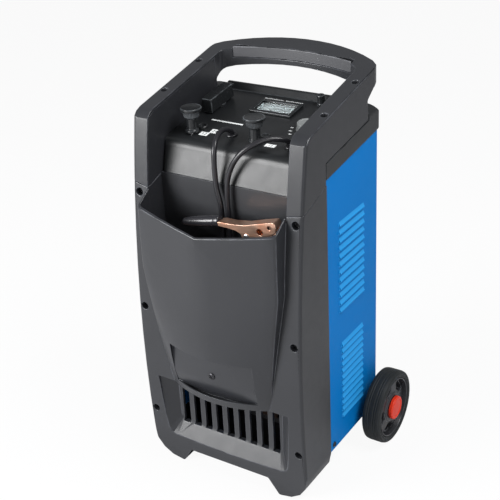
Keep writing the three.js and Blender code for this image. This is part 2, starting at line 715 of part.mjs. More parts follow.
const SELECTOR_HALF = 31.5;
add("selector_bar", panelPlastic, placed(cut(join(
  turned("z", [[0, GAP], [11, GAP], [11, 4], [0, 4]], [0, 0, 0], 20),
  prism("x", outline([
    [-SELECTOR_HALF, 2.5], [-SELECTOR_HALF + 1, 24.5, 1.5], [SELECTOR_HALF - 1, 24.5, 1.5],
    [SELECTOR_HALF, 2.5],
  ], 2), -9, 9, 1.2)), upright(3.3, -5, 14.3)), SELECTOR));
add("selector_switch", greyPlastic, placed(join(
  upright(3, -8, 14), upright(4, -8, -1), block(-19, 19, -22, 22, -34, -3.6)), SELECTOR));
add("dial_knob", greyPlastic, placed(cut(turned("z", [
  [0, GAP], [15, GAP], [15, 3], [13.5, 4], [13, 11], [12, 12], [0, 12],
], [0, 0, 0], 24), upright(3.3, -5, 8.3), block(-0.8, 0.8, 6, 18, 11, 13)), DIAL));
add("dial_switch", greyPlastic, placed(join(
  upright(3, -8, 8), upright(4, -8, -1), rod("z", 17, -26, -3.6, [0, 0, 0], 16)), DIAL));
add("fuse_holder", blackPlastic, placed(join(
  upright(5, -30, 1.2), ring("z", 4.9, 6.8, GAP, 1.2, [0, 0, 0], 14)), FUSE));
add("fuse_cap", blackPlastic, placed(turned("z", [
  [0, 1.5], [6.3, 1.5], [6.3, 16.5], [5.3, 18], [0, 18],
], [0, 0, 0], 14), FUSE));

// ---------- meter ----------
const METER_HALF = 36.8;
const METER_DEEP = 21; // half depth of the bezel
const FACE_TOP = -4.5;
const NEEDLE_Y = -12;
const NEEDLE_ZERO = 0.75; // the needle's angle at zero, from straight up the scale
add("meter_bezel", blackPlastic, placed(cut(
  prism("z", outline([
    [-METER_HALF, -METER_DEEP, 2], [METER_HALF, -METER_DEEP, 2],
    [METER_HALF, METER_DEEP, 2], [-METER_HALF, METER_DEEP, 2],
  ], 2), GAP, 4, 1),
  block(-31, 31, -15, 15, -5, 9)), METER));
add("meter_window", clearWindow, placed(block(-32.4, 32.4, -16.4, 16.4, -1.2, -0.2), METER));
add("meter_body", paleFace, placed(cut(
  block(-32.5, 32.5, -16.5, 16.5, -28, -1.5), block(-31, 31, -15, 15, FACE_TOP, 0)), METER));
add("meter_needle", redPlastic, placed(join(
  rod("z", 1.6, FACE_TOP + GAP, FACE_TOP + 2, [0, NEEDLE_Y, 0], 10),
  prism("z", outline([[-0.6, 0], [0.6, 0], [0.3, 22], [-0.3, 22]]), FACE_TOP + 0.7, FACE_TOP + 1.5)
    .rotateZ(NEEDLE_ZERO).translate(0, NEEDLE_Y, 0)), METER));

// ---------- inside ----------
add("transformer_core", lamination, cut(
  block(-60, 60, -10, 60, BODY_BOTTOM + SHEET + GAP, 160),
  block(-40, -20, -20, 70, 70, 138), block(20, 40, -20, 70, 70, 138)));
add("transformer_coil", winding, cut(
  block(-39, 39, -28, 78, 72, 136), block(-20.3, 20.3, -10.3, 60.3, 60, 150),
  block(-60, -20.3, -10.3, 60.3, 60, 71), block(20.3, 60, -10.3, 60.3, 60, 71)));
add("rectifier_plate", steel, join(
  block(-70, 70, 84, 87, 200, 330),
  ...levels(-60, 60, 8).map((x) => block(x - 1, x + 1, 86, 104, 200, 330))));

// ---------- leads ----------
const outOf = (exit, reach) => {
  const [x, y] = LEAD_EXITS[exit];
  const up = axis(0, -Math.sin(PANEL_TILT), Math.cos(PANEL_TILT));
  return axis(x, y, panelZ(y)).addScaledVector(up, reach).toArray();
};
const COIL_TOP = COIL_Z + 27.4;
const COIL_BACK = COIL_Y + COIL_TURNS * COIL_PITCH / 2;
const COIL_FRONT = COIL_Y - COIL_TURNS * COIL_PITCH / 2;
const CLAMP_A = { x: 59, y: -112, z: 450.8, tilt: -0.227 };
const CLAMP_B = { x: -46.5, y: -134.5, z: 400, tilt: Math.PI };

const LEADS = {
  a: {
    side: -1,
    route: [
      outOf(0, -9), outOf(0, 0), outOf(0, 4), [-22.5, -28.5, 567], [-23.6, -35, 570],
      [-24.1, -45, 571.6], [-21.9, -62, 568.2], [-17, -77, 558.5], [-15.6, -82, 541],
      [-15, -83, 518], [-12.5, -84, 495], [-7.6, -85, 477], [-6, -85, 455],
      [-6, -84.5, 410], [-6, COIL_BACK, 380], [-6, COIL_BACK, COIL_TOP],
    ],
    tail: [
      [-94, COIL_FRONT, COIL_TOP], [-94, COIL_FRONT, 370], [-90.5, -112.1, 382],
      [-82, -112, 391.5], [-71, -112, 397], [-59, -112, 400.2], [-46.6, -112, 403.1],
    ],
  },
  b: {
    side: 1,
    route: [
      outOf(1, -9), outOf(1, 0), outOf(1, 4), [79.2, -31.5, 567], [76.6, -38, 571],
      [67.8, -48, 574.4], [57.4, -58, 574.6], [46.8, -68, 570.5], [34.7, -76, 562.3],
      [23, -80.5, 549.7], [13.1, -82, 533.3], [6.5, -83, 513.7], [5, -84, 494.5],
      [5.2, -85, 474], [6, -85, 455], [6, -84.5, 410], [6, COIL_BACK, 380],
      [6, COIL_BACK, COIL_TOP],
    ],
    tail: [
      [94, COIL_FRONT, COIL_TOP], [94, -113.5, 368], [94.4, -118.5, 379.5],
      [94.4, -126, 391], [92.5, -131.5, 403], [87, -134.2, 414], [77.5, -134.5, 420.6],
      [65.8, -134.5, 421.5],
    ],
  },
};

for (const [name, lead] of Object.entries(LEADS)) {
  const half = (COIL_TURNS * COIL_PITCH + LEAD_D) / 2;
  add(`lead_${name}`, rubber, tube(lead.route, LEAD_D, 34, 8));
  add(`lead_${name}_coil`, rubber, turned("y", [
    [COIL_R - 4, -half + 3], [COIL_R - 1, -half], [COIL_R + 1, -half], [COIL_R + 4, -half + 3],
    [COIL_R + 4, half - 3], [COIL_R + 1, half], [COIL_R - 1, half], [COIL_R - 4, half - 3],
    [COIL_R - 4, -half + 3],
  ], [lead.side * COIL_X, COIL_Y, COIL_Z], 28));
  add(`lead_${name}_tail`, rubber, tube(lead.tail, LEAD_D, 12, 8));
}

// ---------- clamps ----------
// A clamp lies along x with its rivet at the origin, jaws towards +x and handles towards -x.
const GRIP_END = 112;
const UPPER_BITE = [[20, -3], [34, -1.5], [49.5, 3.5]];
const LOWER_BITE = [[20, 3.4], [34, 1.9], [49.5, -3.1]];

function jaw(width, bite, holes) {
  const outer = prism("y", outline([
    [-45, 17.8], [-31.7, 14.6], [-17, 10.2], [-9.5, 5], [-8, -2, 3], [-4, -8, 4], [4, -8, 4],
    [9, -5], ...bite, [53.5, 12], [51.7, 20.5, 3], [28.7, 19.4], [2.3, 17.3], [-23.3, 19.6],
    [-39, 23.2, 3], [-45, 23.4],
  ], 2), -width, width);
  const inner = prism("y", outline([
    [-50, -20], [70, -20], [70, 8], [52, 11.5], [50.2, 18.9], [28.7, 18.1], [2.3, 16],
    [-23.3, 18.3], [-39, 21.9], [-50, 22.1],
  ]), -width + 1.2, width - 1.2);
  const tongue = block(-74, -43.5, -4, 4, 18.6, 22.2);
  const stem = block(-45, -43.5, -width + 0.5, width - 0.5, 18, 23);
  return cut(
    join(cut(outer, inner), tongue, stem),
    ...holes.map(([x, z, radius]) => rod("y", radius, -20, 20, [x, 0, z], 12)));
}

function grip() {
  const sleeve = prism("x", outline([
    [-7.5, 15, 4], [7.5, 15, 4], [7.5, 29.5, 4], [-7.5, 29.5, 4],
  ], 2), -GRIP_END, -45.3, 1.5);
  return cut(sleeve, block(-74.3, -40, -4.3, 4.3, 18.3, 22.5));
}

const flipZ = new THREE.Matrix4().makeScale(1, 1, -1);

function addClamp(name, matrix) {
  const put = (solid) => toSolid(solid).transform(matrix.elements);
  const under = (solid) => toSolid(solid).transform(flipZ.elements);
  const holes = [[0, 0, 3.3], [24.4, 6.6, 5], [42.1, 12.4, 3.2]];
  add(`clamp_${name}_upper_jaw`, copper, put(jaw(9, UPPER_BITE, holes)));
  add(`clamp_${name}_lower_jaw`, copper, put(under(jaw(7.5, LOWER_BITE, holes.slice(0, 1)))));
  add(`clamp_${name}_upper_grip`, blackPlastic, put(grip()));
  add(`clamp_${name}_lower_grip`, blackPlastic, put(under(grip())));
  add(`clamp_${name}_pin`, steel, put(turned("y", [
    [0, -11], [4.5, -10.5], [4.5, -9.3], [3, -9.3], [3, 9.3], [4.5, 9.3], [4.5, 10.5], [0, 11],
  ], [0, 0, 0], 12)));
}

for (const [name, at] of [["a", CLAMP_A], ["b", CLAMP_B]]) {
  addClamp(name, new THREE.Matrix4().makeRotationY(at.tilt).setPosition(at.x, at.y, at.z));
}

export default machine;
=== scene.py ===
import json
import math

import bpy
from bpy.props import FloatProperty, FloatVectorProperty, IntProperty, PointerProperty
from bpy.types import Operator, Panel, PropertyGroup
from mathutils import Matrix, Vector


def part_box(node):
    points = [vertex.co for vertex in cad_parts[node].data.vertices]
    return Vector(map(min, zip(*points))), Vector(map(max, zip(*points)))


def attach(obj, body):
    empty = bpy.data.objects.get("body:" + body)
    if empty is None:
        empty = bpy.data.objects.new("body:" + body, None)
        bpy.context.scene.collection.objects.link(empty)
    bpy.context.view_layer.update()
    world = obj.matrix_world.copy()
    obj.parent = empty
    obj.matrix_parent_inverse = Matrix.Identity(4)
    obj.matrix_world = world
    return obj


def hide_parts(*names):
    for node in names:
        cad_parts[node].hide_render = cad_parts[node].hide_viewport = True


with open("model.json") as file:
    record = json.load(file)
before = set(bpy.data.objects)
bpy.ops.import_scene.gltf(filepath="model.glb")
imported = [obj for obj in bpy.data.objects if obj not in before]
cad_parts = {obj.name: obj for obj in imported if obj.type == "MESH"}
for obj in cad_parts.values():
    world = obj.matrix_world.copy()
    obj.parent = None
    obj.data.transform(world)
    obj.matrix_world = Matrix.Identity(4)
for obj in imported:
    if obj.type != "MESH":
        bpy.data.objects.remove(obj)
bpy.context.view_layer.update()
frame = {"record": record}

bl_info = {
    "name": "Wheeled Battery Charger",
    "version": (1, 0, 0),
    "blender": (4, 5, 0),
    "location": "View3D > Sidebar > Charger",
    "description": "Dresses the packed charger: housings, panel, leads, clamps, wheels and stage",
    "category": "Object",
}

RECORD = frame["record"]
BODY_OF = {
    node: body for body, nodes in RECORD["behaviour"]["bodies"].items() for node in nodes}
SLOT_OF = {row["node"]: row["material_slot"] for row in RECORD["subparts"]}
MM = 0.001
SIDES = ((-1, "left"), (1, "right"))


# ---------- settings ----------
def length(name, value, description):
    return FloatProperty(
        name=name, description=description, default=value, unit="LENGTH", subtype="DISTANCE")


def turn(name, degrees, description):
    return FloatProperty(
        name=name, description=description, default=math.radians(degrees), subtype="ANGLE")


def paint(name, value, description):
    return FloatVectorProperty(
        name=name, description=description, default=value, size=3, subtype="COLOR",
        min=0.0, max=1.0)


class ChargerSizes(PropertyGroup):
    edge: length("Edge round", 1.1 * MM, "Rounding of moulded plastic edges")
    sheet_edge: length("Sheet edge round", 0.7 * MM, "Rounding of sheet steel edges")
    lead: length("Lead diameter", 8 * MM, "Outer diameter of a clamp lead")
    coil_radius: length("Coil radius", 44 * MM, "Middle radius of a stored coil")
    coil_pitch: length("Coil pitch", 8.1 * MM, "Distance between two turns of a coil")
    coil_turns: FloatProperty(
        name="Coil turns", description="Turns in each stored coil", default=3.5)
    screw_head: length("Screw head", 4.4 * MM, "Radius of a housing screw's head")
    scoop_screw: length("Scoop screw head", 5.6 * MM, "Radius of the screw head in the scoop")
    terminal_ribs: IntProperty(
        name="Terminal ribs", description="Ribs round a terminal knob's skirt", default=36)
    tread_groove: length("Tread groove", 0.7 * MM, "Depth of a groove round a tyre")


class ChargerColours(PropertyGroup):
    housing: paint("Housing", (0.019, 0.020, 0.023), "Moulded cover and handle")
    panel: paint("Panel", (0.010, 0.011, 0.012), "Control panel top")
    grip: paint("Grip", (0.060, 0.061, 0.066), "Insert in the handle")
    dial: paint("Dial", (0.19, 0.20, 0.20), "Small dial knob")
    blue: paint("Sheet paint", (0.0, 0.148, 0.450), "Powder coat of the steel body")
    tyre: paint("Tyre", (0.010, 0.012, 0.013), "Tyre rubber")
    lead: paint("Lead", (0.010, 0.010, 0.012), "Lead jacket")
    cap: paint("Hub cap", (0.64, 0.034, 0.012), "Hub cap plastic")
    copper: paint("Copper", (0.96, 0.62, 0.46), "Clamp jaws")
    mark: paint("Marking", (0.72, 0.74, 0.74), "Printed marks on the panel")


class ChargerStage(PropertyGroup):
    azimuth: turn("Azimuth", 33.50, "Camera angle about the vertical, from the front")
    elevation: turn("Elevation", 26.76, "Camera angle above the floor")
    roll: turn("Roll", -3.09, "Camera roll about its own line of sight")
    camera: FloatVectorProperty(
        name="Camera", description="Where the camera stands", size=3, unit="LENGTH",
        default=(0.8084, -1.2460, 1.1116))
    lens: FloatProperty(name="Lens", description="Focal length in millimetres", default=76.6)
    floor: length("Floor", 12.0, "Side of the floor")
    room: FloatProperty(name="Room light", description="Strength of the even light", default=0.26)
    mirrored: FloatProperty(
        name="Mirrored", description="Share of the white ground in reflections", default=0.15)


def sizes():
    return bpy.context.scene.charger_sizes


def colours():
    return bpy.context.scene.charger_colours


def stage():
    return bpy.context.scene.charger_stage


# ---------- shader recipes ----------
class Value:
    """A shader socket that Python arithmetic can act on."""

    def __init__(self, recipe, socket):
        self.recipe = recipe
        self.socket = socket

    def maths(self, operation, first, second):
        return self.recipe.node(
            "ShaderNodeMath", {"operation": operation}, {0: first, 1: second})

    def __add__(self, other):
        return self.maths("ADD", self, other)

    def __radd__(self, other):
        return self.maths("ADD", other, self)

    def __sub__(self, other):
        return self.maths("SUBTRACT", self, other)

    def __rsub__(self, other):
        return self.maths("SUBTRACT", other, self)

    def __mul__(self, other):
        return self.maths("MULTIPLY", self, other)

    def __rmul__(self, other):
        return self.maths("MULTIPLY", other, self)

    def between(self, low, high):
        """Rises from 0 at low to 1 at high."""
        return self.recipe.node("ShaderNodeMapRange", {"interpolation_type": "SMOOTHSTEP"}, {
            0: self, 1: low, 2: high, 3: 0.0, 4: 1.0})


EDGE_MARK = "edge"


class Nodes:
    """Adds wrapped nodes to one shader tree."""

    def __init__(self, tree):
        self.tree = tree

    def node(self, kind, settings=None, inputs=None, output=0):
        node = self.tree.nodes.new(kind)
        for key, value in (settings or {}).items():
            setattr(node, key, value)
        for key, value in (inputs or {}).items():
            self.feed(node.inputs[key], value)
        return Value(self, node.outputs[output])

    def feed(self, socket, value):
        if isinstance(value, Value):
            self.tree.links.new(value.socket, socket)
        else:
            socket.default_value = value


class Recipe(Nodes):
    """One procedural material, built from wrapped sockets."""

    def __init__(self, name, **fixed):
        self.material = bpy.data.materials.new(name)
        self.material.use_nodes = True
        super().__init__(self.material.node_tree)
        self.shader = self.tree.nodes["Principled BSDF"]
        for socket, value in fixed.items():
            self.shader.inputs[socket.replace("_", " ")].default_value = value

    def set(self, socket, value):
        self.feed(self.shader.inputs[socket], value)

    def coords(self, scale=(1, 1, 1)):
        place = self.node("ShaderNodeTexCoord", output=3)
        return self.node("ShaderNodeMapping", None, {"Vector": place, "Scale": scale})

    def noise(self, scale, detail=2.0, vector=None, rough=0.5):
        return self.node("ShaderNodeTexNoise", None, {
            "Vector": vector or self.coords(), "Scale": scale, "Detail": detail,
            "Roughness": rough})

    def speckle(self, scale):
        """Distance to scattered points, for grain and flakes."""
        return self.node("ShaderNodeTexVoronoi", None, {"Vector": self.coords(), "Scale": scale})

    def edge_wear_and_highlight(self):
        """1 on the rounded edges that mark_edges marked, 0 on the faces between them, and a share
        on faces marked for a painted highlight. Recipes paint these places lighter, partly as wear
        and partly as painted highlight.
        """
        return self.node("ShaderNodeAttribute", {"attribute_name": EDGE_MARK}, output=2)

    def mix(self, factor, first, second):
        colours = {
            slot: value if isinstance(value, Value) else (*value, 1.0)
            for slot, value in ((6, first), (7, second))}
        return self.node(
            "ShaderNodeMix", {"data_type": "RGBA"}, {0: factor, **colours}, output=2)

    def bump(self, height, strength, distance):
        self.set("Normal", self.node("ShaderNodeBump", None, {
            "Height": height, "Strength": strength, "Distance": distance}))


def shade(colour, factor):
    """A colour made lighter or darker by a factor."""
    return tuple(min(1.0, channel * factor) for channel in colour)


def moulded(name, colour, roughness=0.35, grain=1500, edge=3.2, shine=0.34):
    """Spark-grained moulding: cloudy tone, a little dust, fine grain, and rounded edges painted
    lighter by the edge factor, partly as wear and partly as painted highlight.
    """
    recipe = Recipe(name, Specular_IOR_Level=shine)
    cloud = recipe.noise(9, 4)
    dust = recipe.noise(140, 3, rough=0.7).between(0.60, 0.78)
    tone = recipe.mix(cloud, shade(colour, 0.80), shade(colour, 1.20))
    tone = recipe.mix(dust * 0.35, tone, shade(colour, 2.2))
    # Painted highlight and wear: the rounded edges are painted lighter in patches, by the edge
    # factor.
    rubbed_and_highlit = recipe.edge_wear_and_highlight() * recipe.noise(40, 3).between(0.30, 0.62)
    recipe.set("Base Color", recipe.mix(rubbed_and_highlit * 0.7, tone, shade(colour, edge)))
    recipe.set(
        "Roughness", recipe.noise(55, 3) * 0.14 + (roughness - 0.07) + dust * 0.10
        - recipe.edge_wear_and_highlight() * 0.10)
    recipe.bump(recipe.speckle(grain) + recipe.noise(grain * 0.6, 1), 0.22, 0.00012)
    return recipe.material


def powder_coat(name, colour):
    """Satin powder coat: orange peel, a fine fleck, and a painted highlight in light blue on the
    rounded edges and the louvres' upward faces.
    """
    recipe = Recipe(name, Specular_IOR_Level=0.06)
    tone = recipe.mix(recipe.noise(4, 2), shade(colour, 0.88), shade(colour, 1.10))
    fleck = recipe.noise(1900, 1).between(0.62, 0.74)
    tone = recipe.mix(fleck * 0.25, tone, shade(colour, 1.7))
    # Painted highlight: the marked edges and louvre faces are painted light blue, standing for the
    # light that catches them.
    recipe.set("Base Color", recipe.mix(recipe.edge_wear_and_highlight() * 0.8, tone, (0.05, 0.42, 0.86)))
    recipe.set("Roughness", recipe.noise(80, 2) * 0.08 + 0.42)
    recipe.bump(recipe.noise(420, 2), 0.12, 0.0002)
    return recipe.material


def tyre_rubber(name, colour):
    """Matte rubber with dust settled in the low parts of its skin."""
    recipe = Recipe(name, Specular_IOR_Level=0.30)
    dust = recipe.noise(26, 5, rough=0.65).between(0.48, 0.80)
    tone = recipe.mix(recipe.noise(60, 3), shade(colour, 0.75), shade(colour, 1.25))
    tone = recipe.mix(dust * 0.45, tone, shade(colour, 2.6))
    # Rounded edges painted lighter: partly scuffed rubber, partly painted highlight.
    recipe.set("Base Color", recipe.mix(recipe.edge_wear_and_highlight() * 0.4, tone, shade(colour, 2.0)))
    recipe.set("Roughness", recipe.noise(90, 3) * 0.16 + 0.50 + dust * 0.12)
    recipe.bump(recipe.noise(900, 3) + recipe.speckle(700), 0.25, 0.0002)
    return recipe.material


def lead_jacket(name, colour):
    """Smooth flexible jacket, scuffed along its run."""
    recipe = Recipe(name, Specular_IOR_Level=0.38)
    tone = recipe.mix(recipe.noise(30), shade(colour, 0.8), shade(colour, 1.5))
    scuff = recipe.noise(300, 4, recipe.coords((1, 1, 0.3))).between(0.62, 0.8)
    recipe.set("Base Color", recipe.mix(scuff * 0.3, tone, shade(colour, 3.5)))
    recipe.set("Roughness", recipe.noise(120, 2) * 0.12 + 0.26 + scuff * 0.15)
    recipe.bump(recipe.noise(700, 2), 0.10, 0.0002)
    return recipe.material


def gloss_plastic(name, colour, roughness, shine=0.5):
    """Smooth plastic whose rounded edges are painted a little lighter, partly as wear and partly
    as painted highlight.
    """
    recipe = Recipe(name, Specular_IOR_Level=shine)
    tone = recipe.mix(recipe.noise(20), shade(colour, 0.90), shade(colour, 1.06))
    recipe.set("Base Color", recipe.mix(recipe.edge_wear_and_highlight() * 0.3, tone, shade(colour, 1.35)))
    recipe.set("Roughness", recipe.noise(90, 3) * 0.10 + (roughness - 0.03))
    recipe.bump(recipe.noise(600), 0.06, 0.0002)
    return recipe.material


def bare_metal(name, colour, roughness, stain=None, streak=(1, 1, 1)):
    """Plated or bright metal with cloudy stains and fine streaks."""
    recipe = Recipe(name, Metallic=1.0)
    cloud = recipe.noise(45, 5).between(0.42, 0.78)
    streaks = recipe.noise(420, 3, recipe.coords(streak))
    tone = recipe.mix(cloud, colour, stain or shade(colour, 0.72))
    recipe.set("Base Color", recipe.mix(streaks * 0.35, tone, shade(colour, 0.62)))
    recipe.set("Roughness", streaks * 0.16 + cloud * 0.10 + (roughness - 0.10))
    recipe.bump(streaks, 0.10, 0.0002)
    return recipe.material


def window_glass(name):
    """Clear window, a little hazy in places."""
    recipe = Recipe(name, Transmission_Weight=0.95, IOR=1.45)
    recipe.set("Base Color", recipe.mix(recipe.noise(20), (0.93, 0.96, 0.95), (0.97, 0.98, 0.98)))
    recipe.set("Roughness", recipe.noise(100, 3) * 0.05 + 0.02)
    return recipe.material


def display_face(name):
    """Pale grained card behind the meter's window."""
    recipe = Recipe(name, Specular_IOR_Level=0.3)
    mottle = recipe.noise(170, 4, rough=0.7)
    tone = recipe.mix(mottle.between(0.35, 0.70), (0.40, 0.46, 0.48), (0.52, 0.58, 0.60))
    specks = recipe.noise(900, 2).between(0.58, 0.66)
    recipe.set("Base Color", recipe.mix(specks * 0.5, tone, (0.32, 0.37, 0.39)))
    recipe.set("Roughness", recipe.noise(300) * 0.1 + 0.5)
    recipe.bump(specks, 0.1, 0.0001)
    return recipe.material


def ink(name, colour):
    """Screen print, a little thin where it has been scuffed."""
    recipe = Recipe(name, Specular_IOR_Level=0.4)
    thin = recipe.noise(500, 4, rough=0.7).between(0.56, 0.80)
    recipe.set("Base Color", recipe.mix(thin * 0.5, colour, shade(colour, 0.35)))
    recipe.set("Roughness", recipe.noise(700) * 0.1 + 0.45)
    return recipe.material


def winding_wire(name):
    """Enamelled wire in close turns."""
    recipe = Recipe(name, Metallic=0.6)
    lines = recipe.node("ShaderNodeTexWave", {"bands_direction": "Z"}, {
        "Vector": recipe.coords(), "Scale": 120.0})
    recipe.set("Base Color", recipe.mix(lines, (0.010, 0.005, 0.003), (0.030, 0.013, 0.007)))
    recipe.set("Roughness", recipe.noise(90) * 0.1 + 0.45)
    recipe.bump(lines, 0.5, 0.0005)
    return recipe.material


FINISHES = {}


def finish(name):
    if not FINISHES:
        mix_finishes()
    return FINISHES[name]


def mix_finishes():
    """Makes every finish once, each from its recipe and what the recipe takes."""
    tint = colours()
    recipes = {
        # In a moulded finish the number after the grain is how much lighter its rounded edges are
        # painted, partly wear and partly painted highlight; the knobs' high value paints a bright
        # rim on them.
        "black_plastic": (moulded, tint.housing),
        "inner_plastic": (moulded, tint.housing, 0.50),
        "panel_plastic": (moulded, tint.panel, 0.34, 1900, 5.0),
        "knob_plastic": (moulded, shade(tint.panel, 1.2), 0.24, 1300, 9.0, 0.32),
        "grip_insert": (moulded, tint.grip, 0.46, 700),
        "grey_plastic": (moulded, tint.dial, 0.50, 700, 1.4),
        "handle_sleeve": (gloss_plastic, shade(tint.lead, 1.6), 0.24),
        "blue_paint": (powder_coat, tint.blue),
        # Near black so that the inside seen through the slots shows dark: painted shade on the
        # base plate.
        "dark_sheet": (bare_metal, (0.020, 0.020, 0.022), 0.6),
        "tyre_rubber": (tyre_rubber, tint.tyre),
        "lead_rubber": (lead_jacket, tint.lead),
        "red_plastic": (gloss_plastic, tint.cap, 0.36, 0.22),
        "steel": (bare_metal, (0.66, 0.66, 0.68), 0.30),
        "dark_steel": (bare_metal, (0.055, 0.055, 0.060), 0.42),
        "copper": (bare_metal, tint.copper, 0.34, (0.78, 0.36, 0.22), (0.15, 1, 1)),
        "clear_window": (window_glass,),
        "meter_face": (display_face,),
        "lamination": (bare_metal, (0.06, 0.06, 0.065), 0.5, None, (1, 0.1, 1)),
        "winding": (winding_wire,),
        "ink": (ink, tint.mark),
        "dark_ink": (ink, (0.05, 0.06, 0.06)),
    }
    FINISHES.update({name: make(name, *traits) for name, (make, *traits) in recipes.items()})


# ---------- modelling tools ----------
SHARP = 32  # degrees at an edge, from which it is rounded
SMOOTH = 40  # degrees at an edge, up to which its shading is smooth
FLAT = 0.3  # degrees between two CAD faces, up to which they are one face
TOUCHING = 0.03 * MM  # two CAD corners as close as this are one corner


def settle(piece, material, body):
    """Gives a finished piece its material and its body."""
    piece.data.materials.clear()
    piece.data.materials.append(finish(material))
    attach(piece, body)


def stand_in(piece, node, material=None):
    """Settles a finished piece that is shown in place of a CAD node."""
    settle(piece, material or SLOT_OF[node], BODY_OF[node])
    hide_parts(node)


def deselect():
    bpy.ops.object.select_all(action="DESELECT")


def choose(piece):
    """Selects one piece alone and makes it active."""
    deselect()
    piece.select_set(True)
    bpy.context.view_layer.objects.active = piece


def apply(piece, modifier):
    choose(piece)
    bpy.ops.object.modifier_apply(modifier=modifier.name)


def mark_edges(piece):
    """Stores which corners lie on rounded edges, then puts every face back in one slot."""
    mesh = piece.data
    mark = mesh.attributes.new(EDGE_MARK, "FLOAT", "CORNER")
    for face in mesh.polygons:
        for corner in face.loop_indices:
            mark.data[corner].value = float(face.material_index)
        face.material_index = 0


def weigh_edges(piece, corner, fine):
    """Weights the sharp edges for bevelling by fine, which takes an edge's middle in mm."""
    choose(piece)
    bpy.ops.object.mode_set(mode="EDIT")
    bpy.ops.mesh.select_mode(type="EDGE")
    bpy.ops.mesh.select_all(action="DESELECT")
    bpy.ops.mesh.edges_select_sharp(sharpness=math.radians(corner))
    bpy.ops.object.mode_set(mode="OBJECT")
    mesh = piece.data
    weight = mesh.attributes.new("bevel_weight_edge", "FLOAT", "EDGE")
    for edge in mesh.edges:
        if edge.select:
            place = sum((mesh.vertices[v].co for v in edge.vertices), Vector()) / 2 / MM
            weight.data[edge.index].value = fine(place)


def round_edges(piece, width, segments=2, corner=SHARP, fine=None):
    """Bevels the edges sharper than corner, marks them and smooths the shading."""
    if fine:
        weigh_edges(piece, corner, fine)
    choose(piece)
    while len(piece.data.materials) < 2:
        piece.data.materials.append(None)
    bevel = piece.modifiers.new("edges", "BEVEL")
    bevel.width = width
    bevel.segments = segments
    bevel.limit_method = "WEIGHT" if fine else "ANGLE"
    bevel.angle_limit = math.radians(corner)
    bevel.use_clamp_overlap = False
    bevel.material = 1
    apply(piece, bevel)
    mark_edges(piece)
    bpy.ops.object.shade_smooth_by_angle(angle=math.radians(SMOOTH))
    normals = piece.modifiers.new("normals", "WEIGHTED_NORMAL")
    normals.keep_sharp = True
    apply(piece, normals)


def cleaned(node):
    """A copy of a CAD node with its loose triangles merged into clean faces."""
    piece = bpy.data.objects.new(f"{node}_finished", bpy.data.objects[node].data.copy())
    bpy.context.scene.collection.objects.link(piece)
    choose(piece)
    bpy.ops.object.mode_set(mode="EDIT")
    bpy.ops.mesh.select_all(action="SELECT")
    bpy.ops.mesh.remove_doubles(threshold=TOUCHING)
    bpy.ops.mesh.dissolve_limited(angle_limit=math.radians(FLAT))
    bpy.ops.object.mode_set(mode="OBJECT")
    return piece


def select_parts(piece, kind, test):
    """Enters edit mode with only the faces or corner points selected that pass the test."""
    choose(piece)
    bpy.ops.object.mode_set(mode="EDIT")
    bpy.ops.mesh.select_mode(type=kind)
    bpy.ops.mesh.select_all(action="DESELECT")
    bpy.ops.object.mode_set(mode="OBJECT")
    for part in piece.data.polygons if kind == "FACE" else piece.data.vertices:
        part.select = test(part)
    bpy.ops.object.mode_set(mode="EDIT")


def paint_lit_faces(piece, test, share):
    """Marks more faces, by their middle in mm and their normal, with a share of the edge mask, so
    that they get a painted highlight.
    """
    mark = piece.data.attributes[EDGE_MARK]
    for face in piece.data.polygons:
        if test(face.center / MM, face.normal):
            for corner in face.loop_indices:
                mark.data[corner].value = share


def dressed(node, width, material=None, segments=2, shape=None, fine=None):
    """A clean copy of a CAD node with rounded edges, which stands for it."""
    piece = cleaned(node)
    if shape:
        shape(piece)
    round_edges(piece, width, segments, fine=fine)
    stand_in(piece, node, material)
    return piece


def painted(node, material=None):
    """Gives a CAD node that stays in sight its finish."""
    piece = bpy.data.objects[node]
    piece.data.materials.clear()
    piece.data.materials.append(finish(material or SLOT_OF[node]))


def middle(node):
    """The middle of a CAD node's box, in metres."""
    low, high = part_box(node)
    return (Vector(low) + Vector(high)) / 2


def turned(name, rings, sides):
    """A closed turned form standing on the origin, from rings of (radius, height) in mm."""
    deselect()
    radius, height = rings[0]
    bpy.ops.mesh.primitive_circle_add(
        vertices=sides, radius=radius * MM, fill_type="NGON", location=(0, 0, height * MM))
    piece = bpy.context.object
    piece.name = name
    bpy.ops.object.mode_set(mode="EDIT")
    bpy.ops.mesh.select_mode(type="FACE")
    bpy.ops.mesh.select_all(action="SELECT")
    for new_radius, new_height in rings[1:]:
        bpy.ops.mesh.extrude_region_move(
            TRANSFORM_OT_translate={"value": (0, 0, (new_height - height) * MM)})
        scale = new_radius / radius
        bpy.ops.transform.resize(value=(scale, scale, 1))
        radius, height = new_radius, new_height
    bpy.ops.mesh.select_all(action="SELECT")
    bpy.ops.mesh.normals_make_consistent(inside=False)
    bpy.ops.object.mode_set(mode="OBJECT")
    rest(piece)
    return piece


def rest(piece, matrix=None):
    """Moves a piece by a matrix and leaves its object at the origin, unturned and unscaled."""
    if matrix is not None:
        piece.matrix_world = matrix @ piece.matrix_world
    choose(piece)
    bpy.ops.object.transform_apply(location=True, rotation=True, scale=True)


def bored(piece):
    """Takes the two end faces out of a turned form and joins their rims into a bore."""
    ends = max(len(face.vertices) for face in piece.data.polygons)
    select_parts(piece, "FACE", lambda face: len(face.vertices) == ends)
    bpy.ops.mesh.delete(type="ONLY_FACE")
    bpy.ops.mesh.select_mode(type="EDGE")
    bpy.ops.mesh.select_non_manifold()
    bpy.ops.mesh.bridge_edge_loops()
    bpy.ops.mesh.select_all(action="SELECT")
    bpy.ops.mesh.normals_make_consistent(inside=False)
    bpy.ops.object.mode_set(mode="OBJECT")


